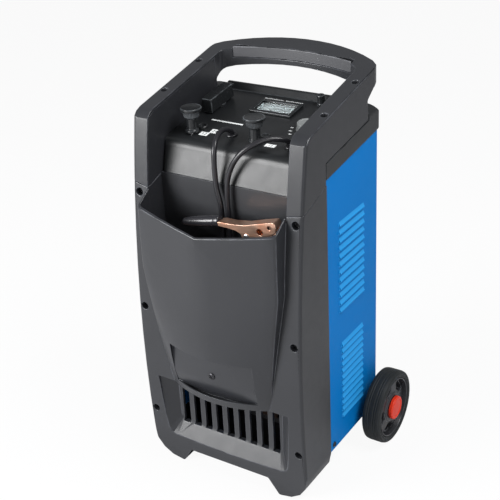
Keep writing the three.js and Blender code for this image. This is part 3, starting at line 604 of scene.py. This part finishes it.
def fluted(piece, low, high, depth, every, width):
    """Presses flutes into a turned form between two heights in mm, width sides in every few."""
    sides = max(len(face.vertices) for face in piece.data.polygons)

    def in_flute(vertex):
        x, y, z = vertex.co
        step = round(math.atan2(y, x) / math.tau * sides) % every
        return low * MM <= z <= high * MM and step < width

    select_parts(piece, "VERT", in_flute)
    bpy.ops.transform.resize(value=(1 - depth, 1 - depth, 1))
    bpy.ops.object.mode_set(mode="OBJECT")


def bar(name, low, high):
    """A block between two corners in mm."""
    deselect()
    low, high = Vector(low) * MM, Vector(high) * MM
    bpy.ops.mesh.primitive_cube_add(size=1, location=(low + high) / 2)
    piece = bpy.context.object
    piece.name = name
    piece.scale = high - low
    rest(piece)
    return piece


def carve(piece, *cutters):
    """Cuts each cutter out of a piece and removes it."""
    for cutter in cutters:
        hole = piece.modifiers.new("carve", "BOOLEAN")
        hole.object = cutter
        hole.operation = "DIFFERENCE"
        hole.solver = "EXACT"
        apply(piece, hole)
        bpy.data.objects.remove(cutter, do_unlink=True)


def copied(piece, name, matrix):
    """A copy with its own mesh, moved by a matrix."""
    twin = piece.copy()
    twin.data = piece.data.copy()
    twin.name = name
    bpy.context.scene.collection.objects.link(twin)
    rest(twin, matrix)
    return twin


def about(direction, degrees):
    return Matrix.Rotation(math.radians(degrees), 4, direction)


def at(x, y, z):
    return Matrix.Translation(Vector((x, y, z)) * MM)


PANEL_MIDDLE, PANEL_SLOPE = 561, 0.14  # the panel's height in mm at y 0, and its rise per mm
PANEL_TILT = math.atan(PANEL_SLOPE)


def panel_height(y):
    return PANEL_MIDDLE + PANEL_SLOPE * y


def on_panel(x, y, height=0.0):
    """A point over the control panel, in millimetres, at a height along its normal."""
    normal = Vector((0, -math.sin(PANEL_TILT), math.cos(PANEL_TILT)))
    return Vector((x, y, panel_height(y))) + normal * height


def panel_frame(x, y):
    """Sets a form made on the origin upright on the control panel."""
    return at(*on_panel(x, y)) @ Matrix.Rotation(PANEL_TILT, 4, "X")


# ---------- leads and clamps ----------
# Each lead in mm: where it leaves the panel, the side its coil winds to, its fall into the
# pocket, and its way from the coil to its clamp.
LEAD_ROUTES = {
    "a": {
        "side": -1,
        "exit": (-21.6, -23.4),
        "fall": [
            (-22.5, -28.5, 567), (-23.6, -35, 570), (-24.1, -45, 571.6), (-21.9, -62, 568.2),
            (-17, -77, 558.5), (-15.6, -82, 541), (-15, -83, 518), (-12.5, -84, 495),
            (-7.6, -85, 477), (-6, -85, 455), (-6, -84.5, 410), (-6, -83.8, 380),
            (-6, -83.8, 359.6),
        ],
        "tail": [
            (-94, -112.2, 359.6), (-94, -112.2, 370), (-90.5, -112.1, 382), (-82, -112, 391.5),
            (-71, -112, 397), (-59, -112, 400.2), (-46.6, -112, 403.1),
        ],
    },
    "b": {
        "side": 1,
        "exit": (79.7, -27.6),
        "fall": [
            (79.2, -31.5, 567), (76.6, -38, 571), (67.8, -48, 574.4), (57.4, -58, 574.6),
            (46.8, -68, 570.5), (34.7, -76, 562.3), (23, -80.5, 549.7), (13.1, -82, 533.3),
            (6.5, -83, 513.7), (5, -84, 494.5), (5.2, -85, 474), (6, -85, 455),
            (6, -84.5, 410), (6, -83.8, 380), (6, -83.8, 359.6),
        ],
        "tail": [
            (94, -112.2, 359.6), (94, -113.5, 368), (94.4, -118.5, 379.5), (94.4, -126, 391),
            (92.5, -131.5, 403), (87, -134.2, 414), (77.5, -134.5, 420.6), (65.8, -134.5, 421.5),
        ],
    },
}


EXIT_HEIGHTS = (-9, 0, 4)  # a lead's first points, in mm over the panel
COIL_POINTS = 16  # points in each turn of a coil


def lead_points(name):
    """The whole route of a lead in metres: exit, fall, coil and tail."""
    route = LEAD_ROUTES[name]
    size = sizes()
    points = [on_panel(*route["exit"], height) * MM for height in EXIT_HEIGHTS]
    points += [Vector(point) * MM for point in route["fall"]]
    centre = middle(f"lead_{name}_coil")
    steps = round(size.coil_turns * COIL_POINTS)
    depth = size.coil_turns * size.coil_pitch
    for step in range(steps + 1):
        angle = step * math.tau / COIL_POINTS
        points.append(centre + Vector((
            -route["side"] * size.coil_radius * math.cos(angle),
            depth * (0.5 - step / steps),
            -size.coil_radius * math.sin(angle))))
    return points + [Vector(point) * MM for point in route["tail"]]


def smooth_curve(name, points, radius):
    """A round cord through the points, on one smooth curve."""
    deselect()
    bpy.ops.curve.primitive_bezier_curve_add(location=(0, 0, 0))
    piece = bpy.context.object
    piece.name = name
    piece.data.splines.clear()
    spline = piece.data.splines.new("BEZIER")
    spline.bezier_points.add(len(points) - 1)
    for knot, point in zip(spline.bezier_points, points):
        knot.co = point
        knot.handle_left_type = knot.handle_right_type = "AUTO"
    piece.data.dimensions = "3D"
    piece.data.resolution_u = 4
    piece.data.bevel_depth = radius
    piece.data.bevel_resolution = 6
    piece.data.use_fill_caps = True
    return piece


# The middle of each clamp's pin in mm, and the clamp's turn about y.
CLAMP_SEATS = {"a": (59, -112, 450.8, -0.227), "b": (-46.5, -134.5, 400, math.pi)}
# Each jaw in mm from its pin: holes as (along, up, radius), first tooth, start of its bite.
JAWS = {
    "upper": {"holes": [(24.4, 6.6, 5.2), (42.1, 12.4, 3.4)], "first": 35.6, "bite": -1.5},
    "lower": {"holes": [], "first": 37.2, "bite": -1.9},
}
TEETH, TOOTH_PITCH, TOOTH_RADIUS = 5, 2.9, 1.5
BITE_START, BITE_SLOPE, TOOTH_LIFT = 34, 0.323, 0.4
SLEEVE_END, SLEEVE_RISE = -45.3, 22.25


class ChargerLeads(Operator):
    """Lays the two clamp leads along their routes"""
    bl_idname = "charger.leads"
    bl_label = "Leads"

    def execute(self, context):
        for name in LEAD_ROUTES:
            points = lead_points(name)
            piece = smooth_curve(f"lead_{name}_jacket", points, sizes().lead / 2)
            settle(piece, "lead_rubber", "cabinet")
            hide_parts(f"lead_{name}", f"lead_{name}_coil", f"lead_{name}_tail")
        return {"FINISHED"}


def clamp_frame(name):
    """Sets a form made about a clamp's pin in its place."""
    x, y, z, tilt = CLAMP_SEATS[name]
    return at(x, y, z) @ Matrix.Rotation(tilt, 4, "Y")


def across(name, radius, x, z, sides=32):
    """A round cutter that lies across the clamp, along y."""
    drill = turned(name, [(radius, -20), (radius, 20)], sides)
    rest(drill, at(x, 0, z) @ about("X", 90))
    return drill


class ChargerClamps(Operator):
    """Makes the toothed jaws, dipped handle sleeves and rivets of both clamps"""
    bl_idname = "charger.clamps"
    bl_label = "Clamps"

    def execute(self, context):
        for name in LEAD_ROUTES:
            for half, side in (("upper", 1), ("lower", -1)):
                self.jaw(name, half, side)
                self.sleeve(name, half, side)
            self.rivet(name)
        return {"FINISHED"}

    def jaw(self, name, half, side):
        node = f"clamp_{name}_{half}_jaw"
        piece = cleaned(node)
        seat = clamp_frame(name)
        traits = JAWS[half]
        cutters = [across("hole", radius, x, z) for x, z, radius in traits["holes"]]
        for tooth in range(TEETH):
            along = traits["first"] + TOOTH_PITCH * tooth
            edge = traits["bite"] + BITE_SLOPE * (along - BITE_START)
            cutters.append(
                across("tooth", TOOTH_RADIUS, along, side * (edge - TOOTH_LIFT), 3))
        for cutter in cutters:
            rest(cutter, seat)
        carve(piece, *cutters)
        round_edges(piece, 0.35 * MM, 2)
        stand_in(piece, node)

    def sleeve(self, name, half, side):
        node = f"clamp_{name}_{half}_grip"
        piece = turned(f"{node}_finished", [
            (6.0, 0), (7.4, 0.5), (8.2, 1.8), (8.2, 7), (7.7, 9), (7.7, 11), (8.1, 14),
            (8.1, 34), (7.4, 52), (6.4, 62), (5.6, 65.6), (4.9, 66.6), (4.3, 66.6)], 48)
        seat = clamp_frame(name) @ at(SLEEVE_END, 0, side * SLEEVE_RISE) @ about("Y", -90)
        rest(piece, seat)
        round_edges(piece, 0.4 * MM, 2, 50)
        stand_in(piece, node, "handle_sleeve")

    def rivet(self, name):
        node = f"clamp_{name}_pin"
        piece = turned(f"{node}_finished", [
            (1.6, -10.2), (2.6, -11), (3.8, -10.8), (4.5, -10.1), (4.5, -9.3), (3, -9.3),
            (3, 9.3), (4.5, 9.3), (4.5, 10.1), (3.8, 10.8), (2.6, 11), (1.6, 10.2)], 40)
        rest(piece, clamp_frame(name) @ about("X", 90))
        round_edges(piece, 0.15 * MM, 2, 50)
        stand_in(piece, node)


# ---------- housings ----------
LEDGE_TOP, LEDGE_FRONT = 82, -105  # the ledge under the slots lies below and before these
LEDGE_MERGE = 9  # degrees between its faces, up to which they are one face
SCOOP_HALF, SCOOP_LOW, SCOOP_HIGH, SCOOP_FRONT = 82, 168, 258, -120
SCOOP_SHARE = 0.5  # share of the edge round on the shallow steps round the scoop
HOOD_LOW, HOOD_FRONT, HOOD_HALF = 530, -58, 122
HOOD_LEAN = (0, 10.5 * MM, 1.5 * MM)


class ChargerHousings(Operator):
    """Finishes the moulded cover, handle, top and their inner plates"""
    bl_idname = "charger.housings"
    bl_label = "Housings"

    def execute(self, context):
        edge = sizes().edge
        dressed("front_cover", edge, segments=3, shape=self.ledge, fine=self.scoop)
        dressed("handle_shell", edge, segments=3)
        dressed("top_cover", edge, segments=3, shape=self.hood)
        for node in ["handle_liner_left", "handle_liner_right"]:
            dressed(node, 0.4 * MM)
        dressed("grip_insert", 1.0 * MM, "grip_insert", 3)
        dressed("inner_front_panel", 0.5 * MM, "inner_plastic")
        return {"FINISHED"}

    def ledge(self, piece):
        """Makes the sloping ledge under the slots one smooth face."""
        def on_ledge(face):
            place, normal = face.center / MM, face.normal
            return (
                place.z < LEDGE_TOP and place.y < LEDGE_FRONT
                and normal.y < -0.84 and normal.z > 0.42 and abs(normal.x) < 0.16)

        select_parts(piece, "FACE", on_ledge)
        bpy.ops.mesh.dissolve_limited(angle_limit=math.radians(LEDGE_MERGE))
        bpy.ops.object.mode_set(mode="OBJECT")

    def scoop(self, place):
        """The share of the edge round at a place in mm."""
        near = (
            abs(place.x) < SCOOP_HALF and SCOOP_LOW < place.z < SCOOP_HIGH
            and place.y < SCOOP_FRONT)
        return SCOOP_SHARE if near else 1.0

    def hood(self, piece):
        """Leans the hood's front face back a little, below its rounded top edge."""
        def on_front(vertex):
            place = vertex.co / MM
            return place.z > HOOD_LOW and place.y < HOOD_FRONT and abs(place.x) < HOOD_HALF

        select_parts(piece, "VERT", on_front)
        bpy.ops.transform.translate(value=HOOD_LEAN)
        bpy.ops.object.mode_set(mode="OBJECT")


BOW_FRONT, BOW_MID, BOW_SCALE = -128.7, 215, 65.4  # the bow of the cover's columns
SCREW_X, COVER_SCREWS, SCREW_DEPTH = 134.5, [480, 291, 97], 9.9
ARM_SCREW_X, ARM_SCREWS = 136.3, [66, -28]
ARM_TOP, ARM_SLOPE, ARM_SCREW_DEPTH = 619.5, 0.205, 11.8
SCOOP_SCREW = (0, -149, 214)
SIDE_SCREW = (143, -26.4, 56.3)


def bow(z):
    """The front of a column, in mm, at a height in mm."""
    return BOW_FRONT + ((z - BOW_MID) / BOW_SCALE) ** 2


def screw_head(name, radius, height):
    """A domed head with a cross recess, its flat side on the origin; radius in m, height in mm."""
    r = radius / MM
    head = turned(name, [
        (r * 0.82, 0), (r, 0.12 * height), (r, 0.35 * height), (r * 0.9, 0.68 * height),
        (r * 0.68, 0.9 * height), (r * 0.4, height)], 36)
    wide, narrow, deep = r * 0.62, r * 0.13, height * 0.35
    carve(
        head,
        bar("slot_x", (-wide, -narrow, deep), (wide, narrow, height + 1)),
        bar("slot_y", (-narrow, -wide, deep), (narrow, wide, height + 1)))
    round_edges(head, 0.12 * MM, 1, 40)
    return head


class ChargerScrews(Operator):
    """Sets the cross-head screws in the cover, the arms, the scoop and the side panels"""
    bl_idname = "charger.screws"
    bl_label = "Screws"

    def execute(self, context):
        small = screw_head("screw", sizes().screw_head, 2.6)
        large = screw_head("scoop_screw", sizes().scoop_screw, 2.4)
        front = about("X", 90)
        for side, hand in SIDES:
            for row, z in enumerate(COVER_SCREWS):
                seat = at(side * SCREW_X, bow(z) + SCREW_DEPTH, z) @ front @ about("Z", 17 * row)
                self.set(small, f"cover_screw_{hand}_{row + 1}", seat)
            for row, y in enumerate(ARM_SCREWS):
                z = ARM_TOP + ARM_SLOPE * y - ARM_SCREW_DEPTH
                seat = at(side * ARM_SCREW_X, y, z) @ about("Z", 31 * row)
                self.set(small, f"arm_screw_{hand}_{row + 1}", seat)
            x, y, z = SIDE_SCREW
            self.set(small, f"side_screw_{hand}", at(side * x, y, z) @ about("Y", 90 * side))
        self.set(large, "scoop_screw_set", at(*SCOOP_SCREW) @ front @ about("Z", 40))
        for pattern in (small, large):
            bpy.data.objects.remove(pattern, do_unlink=True)
        return {"FINISHED"}

    def set(self, pattern, name, seat):
        settle(copied(pattern, name, seat), "dark_steel", "cabinet")


# ---------- steel body ----------
LOUVRE_OUT = 142.8  # the louvres stand further out than this


class ChargerSheets(Operator):
    """Finishes the louvred steel body and its cable gland"""
    bl_idname = "charger.sheets"
    bl_label = "Steel body"

    def execute(self, context):
        dressed("rear_panel", sizes().sheet_edge)
        for node in ["left_side_panel", "right_side_panel"]:
            # The louvres' upward faces get a painted highlight in light blue.
            paint_lit_faces(dressed(node, sizes().sheet_edge), self.louvre_top, 0.6)
        # The base plate is finished near black, painted shade for the dark inside behind the
        # slots.
        dressed("base_plate", sizes().sheet_edge)
        self.gland()
        return {"FINISHED"}

    def louvre_top(self, place, normal):
        return abs(place.x) > LOUVRE_OUT and normal.z > 0.2 and abs(normal.x) > 0.3

    def gland(self):
        gland = turned("mains_gland_finished", [
            (4, 116), (10.6, 116), (10.6, 122.1), (8, 122.1), (8, 124.3), (12, 124.3),
            (12, 128.5), (10.4, 130.2), (9.6, 131), (9.6, 132.4), (8.8, 133.2), (8.8, 135),
            (7.6, 136), (4, 136)], 48)
        bored(gland)
        rest(gland, at(0, 0, 110) @ about("X", -90))
        round_edges(gland, 0.4 * MM)
        stand_in(gland, "mains_gland", "lead_rubber")


# ---------- wheels ----------
WHEEL_IN, WHEEL_OUT, WHEEL_R = 157, 189, 62.5  # inner face, outer face and radius
AXLE_Y = 103.5
GROOVES = (165, 169, 177, 181)
POCKETS, POCKET_SPIN, POCKET_RADIUS = 5, -14, 37.4


class ChargerWheels(Operator):
    """Makes the grooved tyres, five-lobed wheels, red caps and the axle"""
    bl_idname = "charger.wheels"
    bl_label = "Wheels"

    def execute(self, context):
        forms = {"tyre": self.tyre(), "wheel": self.disc(), "hub_cap": self.cap()}
        for side, hand in SIDES:
            seat = at(0, AXLE_Y, WHEEL_R) @ about("Y", 90 * side)
            for part, form in forms.items():
                node = f"{part}_{hand}"
                stand_in(copied(form, f"{node}_finished", seat), node)
            painted(f"spacer_{hand}")
        painted("axle")
        for form in forms.values():
            bpy.data.objects.remove(form, do_unlink=True)
        return {"FINISHED"}

    def tyre(self):
        groove = sizes().tread_groove / MM
        rings = [(51.1, WHEEL_IN + 2), (54, WHEEL_IN), (58.5, WHEEL_IN), (61.5, WHEEL_IN + 2.2)]
        for place in GROOVES:
            rings += [
                (WHEEL_R, place - 0.9), (WHEEL_R - groove, place - 0.5),
                (WHEEL_R - groove, place + 0.5), (WHEEL_R, place + 0.9)]
        rings += [
            (WHEEL_R, WHEEL_OUT - 6), (61.5, WHEEL_OUT - 2.2), (60.2, WHEEL_OUT - 0.8),
            (58.5, WHEEL_OUT), (57.2, WHEEL_OUT), (56.8, WHEEL_OUT - 0.6),
            (55.6, WHEEL_OUT - 0.6), (55.2, WHEEL_OUT), (54, WHEEL_OUT), (51.1, WHEEL_OUT - 2)]
        tyre = turned("tyre", rings, 112)
        bored(tyre)
        round_edges(tyre, 0.35 * MM, 2, 28)
        return tyre

    def disc(self):
        disc = turned("wheel", [
            (6.3, WHEEL_IN), (14, WHEEL_IN), (14, 167), (44, 167), (45.5, WHEEL_IN + 2),
            (50.7, WHEEL_IN + 2), (50.7, WHEEL_OUT - 1.6), (49.8, WHEEL_OUT - 1),
            (48.6, WHEEL_OUT - 1.3), (46.2, WHEEL_OUT - 11), (44.8, WHEEL_OUT - 11.5),
            (43.6, WHEEL_OUT - 7.5), (30, WHEEL_OUT - 6.2), (26.5, WHEEL_OUT - 5.4),
            (24.5, WHEEL_OUT - 3.2), (6.3, WHEEL_OUT - 3)], 120)
        bored(disc)
        cutters = []
        for step in range(POCKETS):
            pocket = turned("pocket", [(10.5, 171), (11, 178), (12, WHEEL_OUT + 3)], 6)
            pocket.scale = (0.78, 1.35, 1)
            rest(pocket)
            spin = about("Z", 360 / POCKETS * step + POCKET_SPIN)
            rest(pocket, spin @ at(POCKET_RADIUS, 0, 0))
            cutters.append(pocket)
        carve(disc, *cutters)
        round_edges(disc, 0.8 * MM, 3, 30)
        return disc

    def cap(self):
        cap = turned("hub_cap", [
            (19.4, WHEEL_OUT - 2.7), (20, WHEEL_OUT - 2.2), (20, WHEEL_OUT + 2.2),
            (19.3, WHEEL_OUT + 3.4), (18, WHEEL_OUT + 4), (16.2, WHEEL_OUT + 4.1),
            (15.4, WHEEL_OUT + 3.3), (9, WHEEL_OUT + 3.6), (2, WHEEL_OUT + 3.8)], 80)
        round_edges(cap, 0.3 * MM, 2, 28)
        return cap


# ---------- control panel ----------
# Places on the panel, in mm.
SELECTOR, DIAL, FUSE, METER = (-95.5, 54.5), (75.5, 27), (60.5, 102), (-0.8, 70)
LEAD_EXITS = {"left": LEAD_ROUTES["a"]["exit"], "right": LEAD_ROUTES["b"]["exit"]}
TERMINALS = {"left": (-84.5, -35.2), "right": (24.5, -32.8)}
# Where each painted-shade ring stands, in mm to the right of and behind its terminal.
SHADE_RING_FROM_TERMINAL = (6, 19)
SELECTOR_BORE = 6  # the bar's edges nearer to its axis than this stay sharp
BORE_SHARE = 0.05


class ChargerControls(Operator):
    """Makes the knobs, terminals, fuse cap and lead glands"""
    bl_idname = "charger.controls"
    bl_label = "Controls"

    def execute(self, context):
        dressed("selector_bar", 0.9 * MM, "knob_plastic", 3, fine=self.bar_edge)
        dressed("fuse_holder", 0.4 * MM)
        self.dial()
        self.fuse()
        for _, hand in SIDES:
            self.terminal(hand)
            # A dark ring standing for the terminal's cast shadow: painted shade.
            self.socket(hand)
            self.gland(hand)
            painted(f"terminal_stud_{hand}")
        for node in ["selector_switch", "dial_switch"]:
            painted(node)
        return {"FINISHED"}

    def bar_edge(self, place):
        """The share of the selector bar's edge round at a place in mm."""
        return BORE_SHARE if math.dist(place[:2], SELECTOR) < SELECTOR_BORE else 1.0

    def place(self, piece, seat, node, material, edge):
        """Puts a turned form on its seat in place of its node; edge in mm."""
        rest(piece, seat)
        round_edges(piece, edge * MM, 2, 30)
        stand_in(piece, node, material)

    def dial(self):
        knob = turned("dial_knob_finished", [
            (15, 0.3), (15, 2.6), (14.2, 3.4), (13.4, 3.8), (12.8, 11), (12, 12),
            (9.6, 12), (9, 11.4)], 96)
        fluted(knob, 3.9, 11.1, 0.05, 6, 2)
        carve(knob, bar("pointer", (-0.7, 5, 10.6), (0.7, 13.4, 13)))
        self.place(knob, panel_frame(*DIAL), "dial_knob", "grey_plastic", 0.3)

    def fuse(self):
        cap = turned("fuse_cap_finished", [
            (6.3, 1.5), (6.3, 4), (5.9, 4.6), (5.9, 14.6), (6.2, 15.2), (6.2, 16.6),
            (5.4, 18)], 72)
        fluted(cap, 4.7, 14.5, 0.06, 4, 2)
        carve(cap, bar("coin_slot", (-0.7, -4.6, 16.4), (0.7, 4.6, 19)))
        self.place(cap, panel_frame(*FUSE), "fuse_cap", "knob_plastic", 0.25)

    def terminal(self, hand):
        x, y = TERMINALS[hand]
        node = f"terminal_knob_{hand}"
        sides = sizes().terminal_ribs * 3
        knob = turned(f"{node}_finished", [
            (10.3, 0.3), (10.3, 3.4), (9.6, 4.4), (8.4, 5.2), (8.2, 6), (8.2, 20.6),
            (8.6, 21.6), (11.5, 24), (13.2, 32.4), (15.9, 33.2), (16.5, 34.4), (16.5, 37.4),
            (15.9, 38.3), (14.8, 38.4), (13.6, 37.6), (8, 37.0), (2, 36.9)], sides)
        fluted(knob, 23.9, 32.5, 0.055, 3, 1)
        self.place(knob, at(x, y, panel_height(y) + 1.6), node, "knob_plastic", 0.3)

    def socket(self, hand):
        """A low dark ring on the panel behind a terminal, where the terminal casts its shadow:
        painted shade made as a piece.
        """
        x, y = TERMINALS[hand]
        right, back = SHADE_RING_FROM_TERMINAL
        socket = turned(f"terminal_shade_ring_{hand}", [
            (8.2, -1), (8.2, 1.8), (7.4, 3.2), (6.2, 3.8), (5.4, 3.4), (5, 1.8),
            (2, 1.6)], 48)
        rest(socket, panel_frame(x + right, y + back))
        round_edges(socket, 0.2 * MM, 2, 40)
        settle(socket, "knob_plastic", "cabinet")

    def gland(self, hand):
        node = f"grommet_{hand}"
        gland = turned(f"{node}_finished", [
            (6.9, -5), (6.9, 0.1), (8.4, 0.2), (8.4, 1.6), (7.7, 2.6), (6.4, 3.0),
            (5.4, 2.9), (5, 2.2), (4.2, 2)], 56)
        self.place(gland, panel_frame(*LEAD_EXITS[hand]), node, "lead_rubber", 0.25)


SCALE_TICKS, SCALE_START, SCALE_STEP = 11, -42, 8.4  # the meter's scale, in degrees
SCALE_OUT, SCALE_LONG, SCALE_SHORT = 21.6, 17.4, 19.0  # radii where its ticks end and start
MARK_ROW, MARK_START, MARK_PITCH, MARK_COUNT, MARK_GAP = 97, -36.5, 3.1, 22, 11


class ChargerMeter(Operator):
    """Makes the meter's bezel, window, printed face and needle"""
    bl_idname = "charger.meter"
    bl_label = "Meter"

    def execute(self, context):
        dressed("meter_bezel", 0.5 * MM, "knob_plastic", 3)
        dressed("meter_window", 0.15 * MM)
        dressed("meter_body", 0.2 * MM)
        painted("meter_needle", "dark_ink")
        ticks = []
        for tick in range(SCALE_TICKS):
            angle = math.radians(SCALE_START + SCALE_STEP * tick)
            near = SCALE_SHORT if tick % 5 else SCALE_LONG
            ticks.append([(r * math.sin(angle), r * math.cos(angle)) for r in (near, SCALE_OUT)])
        print_lines("scale_ticks", ticks, 0.5, panel_frame(*METER) @ at(0, -12, -4.5), "dark_ink")
        return {"FINISHED"}


def print_lines(name, lines, width, seat, material="ink", thick=0.12):
    """One piece of printed strokes, each between two points in mm, just proud of its ground."""
    strokes = []
    for (x0, y0), (x1, y1) in lines:
        run, heading = math.hypot(x1 - x0, y1 - y0), math.atan2(y1 - y0, x1 - x0)
        stroke = bar(name, (0, -width / 2, -0.05), (run, width / 2, thick))
        rest(stroke, seat @ at(x0, y0, 0) @ Matrix.Rotation(heading, 4, "Z"))
        strokes.append(stroke)
    deselect()
    for stroke in strokes:
        stroke.select_set(True)
    bpy.context.view_layer.objects.active = strokes[0]
    if len(strokes) > 1:
        bpy.ops.object.join()
    round_edges(strokes[0], 0.04 * MM, 1, 40)
    settle(strokes[0], material, "cabinet")


NUMBER_RISE = 0.1  # thickness of a printed number in mm
DIGIT_SHARE = 1.4  # the type's size over the height of a digit


def print_number(name, number, height, seat):
    """A plain dark number in raised print, its middle on the seat; sizes in mm."""
    deselect()
    bpy.ops.object.text_add(location=(0, 0, 0))
    words = bpy.context.object
    words.data.body = number
    words.data.size = height * MM * DIGIT_SHARE
    words.data.extrude = NUMBER_RISE * MM
    words.data.align_x = words.data.align_y = "CENTER"
    choose(words)
    bpy.ops.object.convert(target="MESH")
    words = bpy.context.object
    words.name = words.data.name = name
    bpy.ops.object.mode_set(mode="EDIT")
    bpy.ops.mesh.select_all(action="SELECT")
    bpy.ops.mesh.remove_doubles(threshold=0.001 * MM)
    bpy.ops.mesh.normals_make_consistent(inside=False)
    bpy.ops.object.mode_set(mode="OBJECT")
    rest(words, seat)
    settle(words, "dark_ink", "cabinet")


def print_patch(name, x, y, wide, deep, number):
    """A pale printed patch with a plain number on it, from the middle of its left side in mm."""
    print_lines(name, [[(x, y), (x + wide, y)]], deep, panel_frame(0, 0), thick=0.10)
    seat = panel_frame(0, 0) @ at(x + wide / 2, y, 0.1)
    print_number(f"{name}_number", number, deep * 0.62, seat)


class ChargerMarks(Operator):
    """Prints the panel's plain bar, ticks and numbers"""
    bl_idname = "charger.marks"
    bl_label = "Panel marks"

    def execute(self, context):
        ground = panel_frame(0, 0)
        slope = 1 / math.cos(PANEL_TILT)
        print_lines("panel_bar", [[(-79, 9.4 * slope), (-23, 9.4 * slope)]], 3.4, ground)
        print_lines("dial_ticks", [
            [(x, y * slope), (x + 4.8, y * slope)]
            for x, y in [(50.6, 25.2), (53.2, 15.3), (57.4, 6.3)]], 1.8, ground)
        marks = []
        for mark in range(MARK_COUNT):
            x, tall = MARK_START + MARK_PITCH * mark, 2.4 if mark % 3 else 3.2
            if mark != MARK_GAP:
                marks.append([(x, MARK_ROW * slope), (x, (MARK_ROW + tall) * slope)])
        print_lines("meter_marks", marks, 1.3, ground)
        print_patch("left_patch_1", -72, -33.2 * slope, 14.5, 10.5, "12")
        print_patch("left_patch_2", -60, -22 * slope, 14, 11.5, "24")
        print_patch("right_patch", 42, -33.4 * slope, 17, 8, "12")
        return {"FINISHED"}


# ---------- inside ----------
class ChargerInside(Operator):
    """Finishes the parts inside the body"""
    bl_idname = "charger.inside"
    bl_label = "Inside"

    def execute(self, context):
        for node in ["transformer_coil", "rectifier_plate"]:
            painted(node)
        painted("transformer_core", "lamination")
        return {"FINISHED"}


# ---------- stage ----------
# Softboxes: where each stands, what it aims at, its width and height in metres, and watts.
SOFTBOXES = {
    "front_left": ((-1.3, -2.1, 1.15), (0, 0, 0.35), (1.4, 1.3), 120),
    "right": ((1.7, -1.3, 0.9), (0.1, 0, 0.3), (0.7, 1.0), 9),
    "over": ((1.3, -0.1, 2.3), (0.1, 0, 0.4), (1.0, 0.9), 46),
}
FLOOR_WHITE = 0.93  # share of the floor that shows white; the rest keeps the shadow
SENSOR = 36


def softbox(name, place, aim, size, watts):
    bpy.ops.object.light_add(type="AREA", location=place)
    lamp = bpy.context.object
    lamp.name = name
    lamp.data.shape = "RECTANGLE"
    lamp.data.size, lamp.data.size_y = size
    lamp.data.energy = watts
    lamp.rotation_euler = (Vector(aim) - Vector(place)).to_track_quat("-Z", "Y").to_euler()


def white_to_lens(nodes, ground, output, share):
    """Shows white to the camera, through glass and partly in reflections, in place of ground.

    The share says how much of the ground it hides.
    """
    camera, glass, mirror = (
        nodes.node("ShaderNodeLightPath", output=f"Is {kind} Ray")
        for kind in ("Camera", "Transmission", "Glossy"))
    seen = camera.maths("MAXIMUM", camera, glass)
    seen = camera.maths("MAXIMUM", seen, mirror * stage().mirrored)
    white = nodes.node("ShaderNodeEmission", None, {"Strength": 1.0})
    nodes.feed(output, nodes.node(
        "ShaderNodeMixShader", None, {0: seen * share, 1: ground, 2: white}))


def floor_material():
    recipe = Recipe("pale_floor")
    recipe.set("Base Color", recipe.mix(recipe.noise(2), (0.62, 0.62, 0.63), (0.66, 0.66, 0.67)))
    recipe.set("Roughness", recipe.noise(4) * 0.05 + 0.75)
    ground = Value(recipe, recipe.shader.outputs[0])
    output = recipe.tree.nodes["Material Output"].inputs["Surface"]
    white_to_lens(recipe, ground, output, FLOOR_WHITE)
    return recipe.material


def pale_world():
    world = bpy.data.worlds.new("pale_world")
    bpy.context.scene.world = world
    world.use_nodes = True
    nodes = Nodes(world.node_tree)
    room = nodes.tree.nodes["Background"]
    room.inputs["Color"].default_value = (0.92, 0.93, 0.96, 1)
    room.inputs["Strength"].default_value = stage().room
    ground = Value(nodes, room.outputs[0])
    white_to_lens(nodes, ground, nodes.tree.nodes["World Output"].inputs["Surface"], 1.0)


class ChargerStageBuild(Operator):
    """Builds the floor, the lights and the camera"""
    bl_idname = "charger.stage"
    bl_label = "Stage"

    def execute(self, context):
        settings = stage()
        bpy.ops.mesh.primitive_plane_add(size=settings.floor, location=(0, 0, 0))
        floor = context.object
        floor.name = "floor"
        floor.data.materials.append(floor_material())
        pale_world()
        for name, traits in SOFTBOXES.items():
            softbox(name, *traits)
        bpy.ops.object.camera_add(location=settings.camera)
        camera = context.object
        camera.name = "camera"
        camera.data.lens = settings.lens
        camera.data.sensor_width = SENSOR
        spin = Matrix.Rotation(settings.azimuth, 3, "Z")
        tilt = Matrix.Rotation(math.pi / 2 - settings.elevation, 3, "X")
        roll = Matrix.Rotation(settings.roll, 3, "Z")
        camera.rotation_euler = (spin @ tilt @ roll).to_euler()
        context.scene.camera = camera
        context.scene.view_settings.view_transform = "Standard"
        return {"FINISHED"}


# ---------- add-on ----------
class ChargerPanel(Panel):
    """Lists the steps that build the charger"""
    bl_idname = "VIEW3D_PT_charger"
    bl_label = "Battery Charger"
    bl_space_type = "VIEW_3D"
    bl_region_type = "UI"
    bl_category = "Charger"

    def draw(self, context):
        for step in STEPS:
            self.layout.operator(step.bl_idname)
        for group in SETTINGS:
            settings = getattr(context.scene, group)
            for name in settings.__annotations__:
                self.layout.prop(settings, name)


STEPS = [
    ChargerStageBuild, ChargerClamps, ChargerLeads, ChargerHousings, ChargerScrews,
    ChargerSheets, ChargerWheels, ChargerControls, ChargerMeter, ChargerMarks, ChargerInside,
]
SETTINGS = {
    "charger_sizes": ChargerSizes, "charger_colours": ChargerColours,
    "charger_stage": ChargerStage,
}
CLASSES = [*SETTINGS.values(), *STEPS, ChargerPanel]


def register():
    for item in CLASSES:
        bpy.utils.register_class(item)
    for name, group in SETTINGS.items():
        setattr(bpy.types.Scene, name, PointerProperty(type=group))


def unregister():
    for name in SETTINGS:
        delattr(bpy.types.Scene, name)
    for item in reversed(CLASSES):
        bpy.utils.unregister_class(item)


def main():
    register()
    for step in STEPS:
        group, name = step.bl_idname.split(".")
        getattr(getattr(bpy.ops, group), name)()


if __name__ == "__main__":
    main()
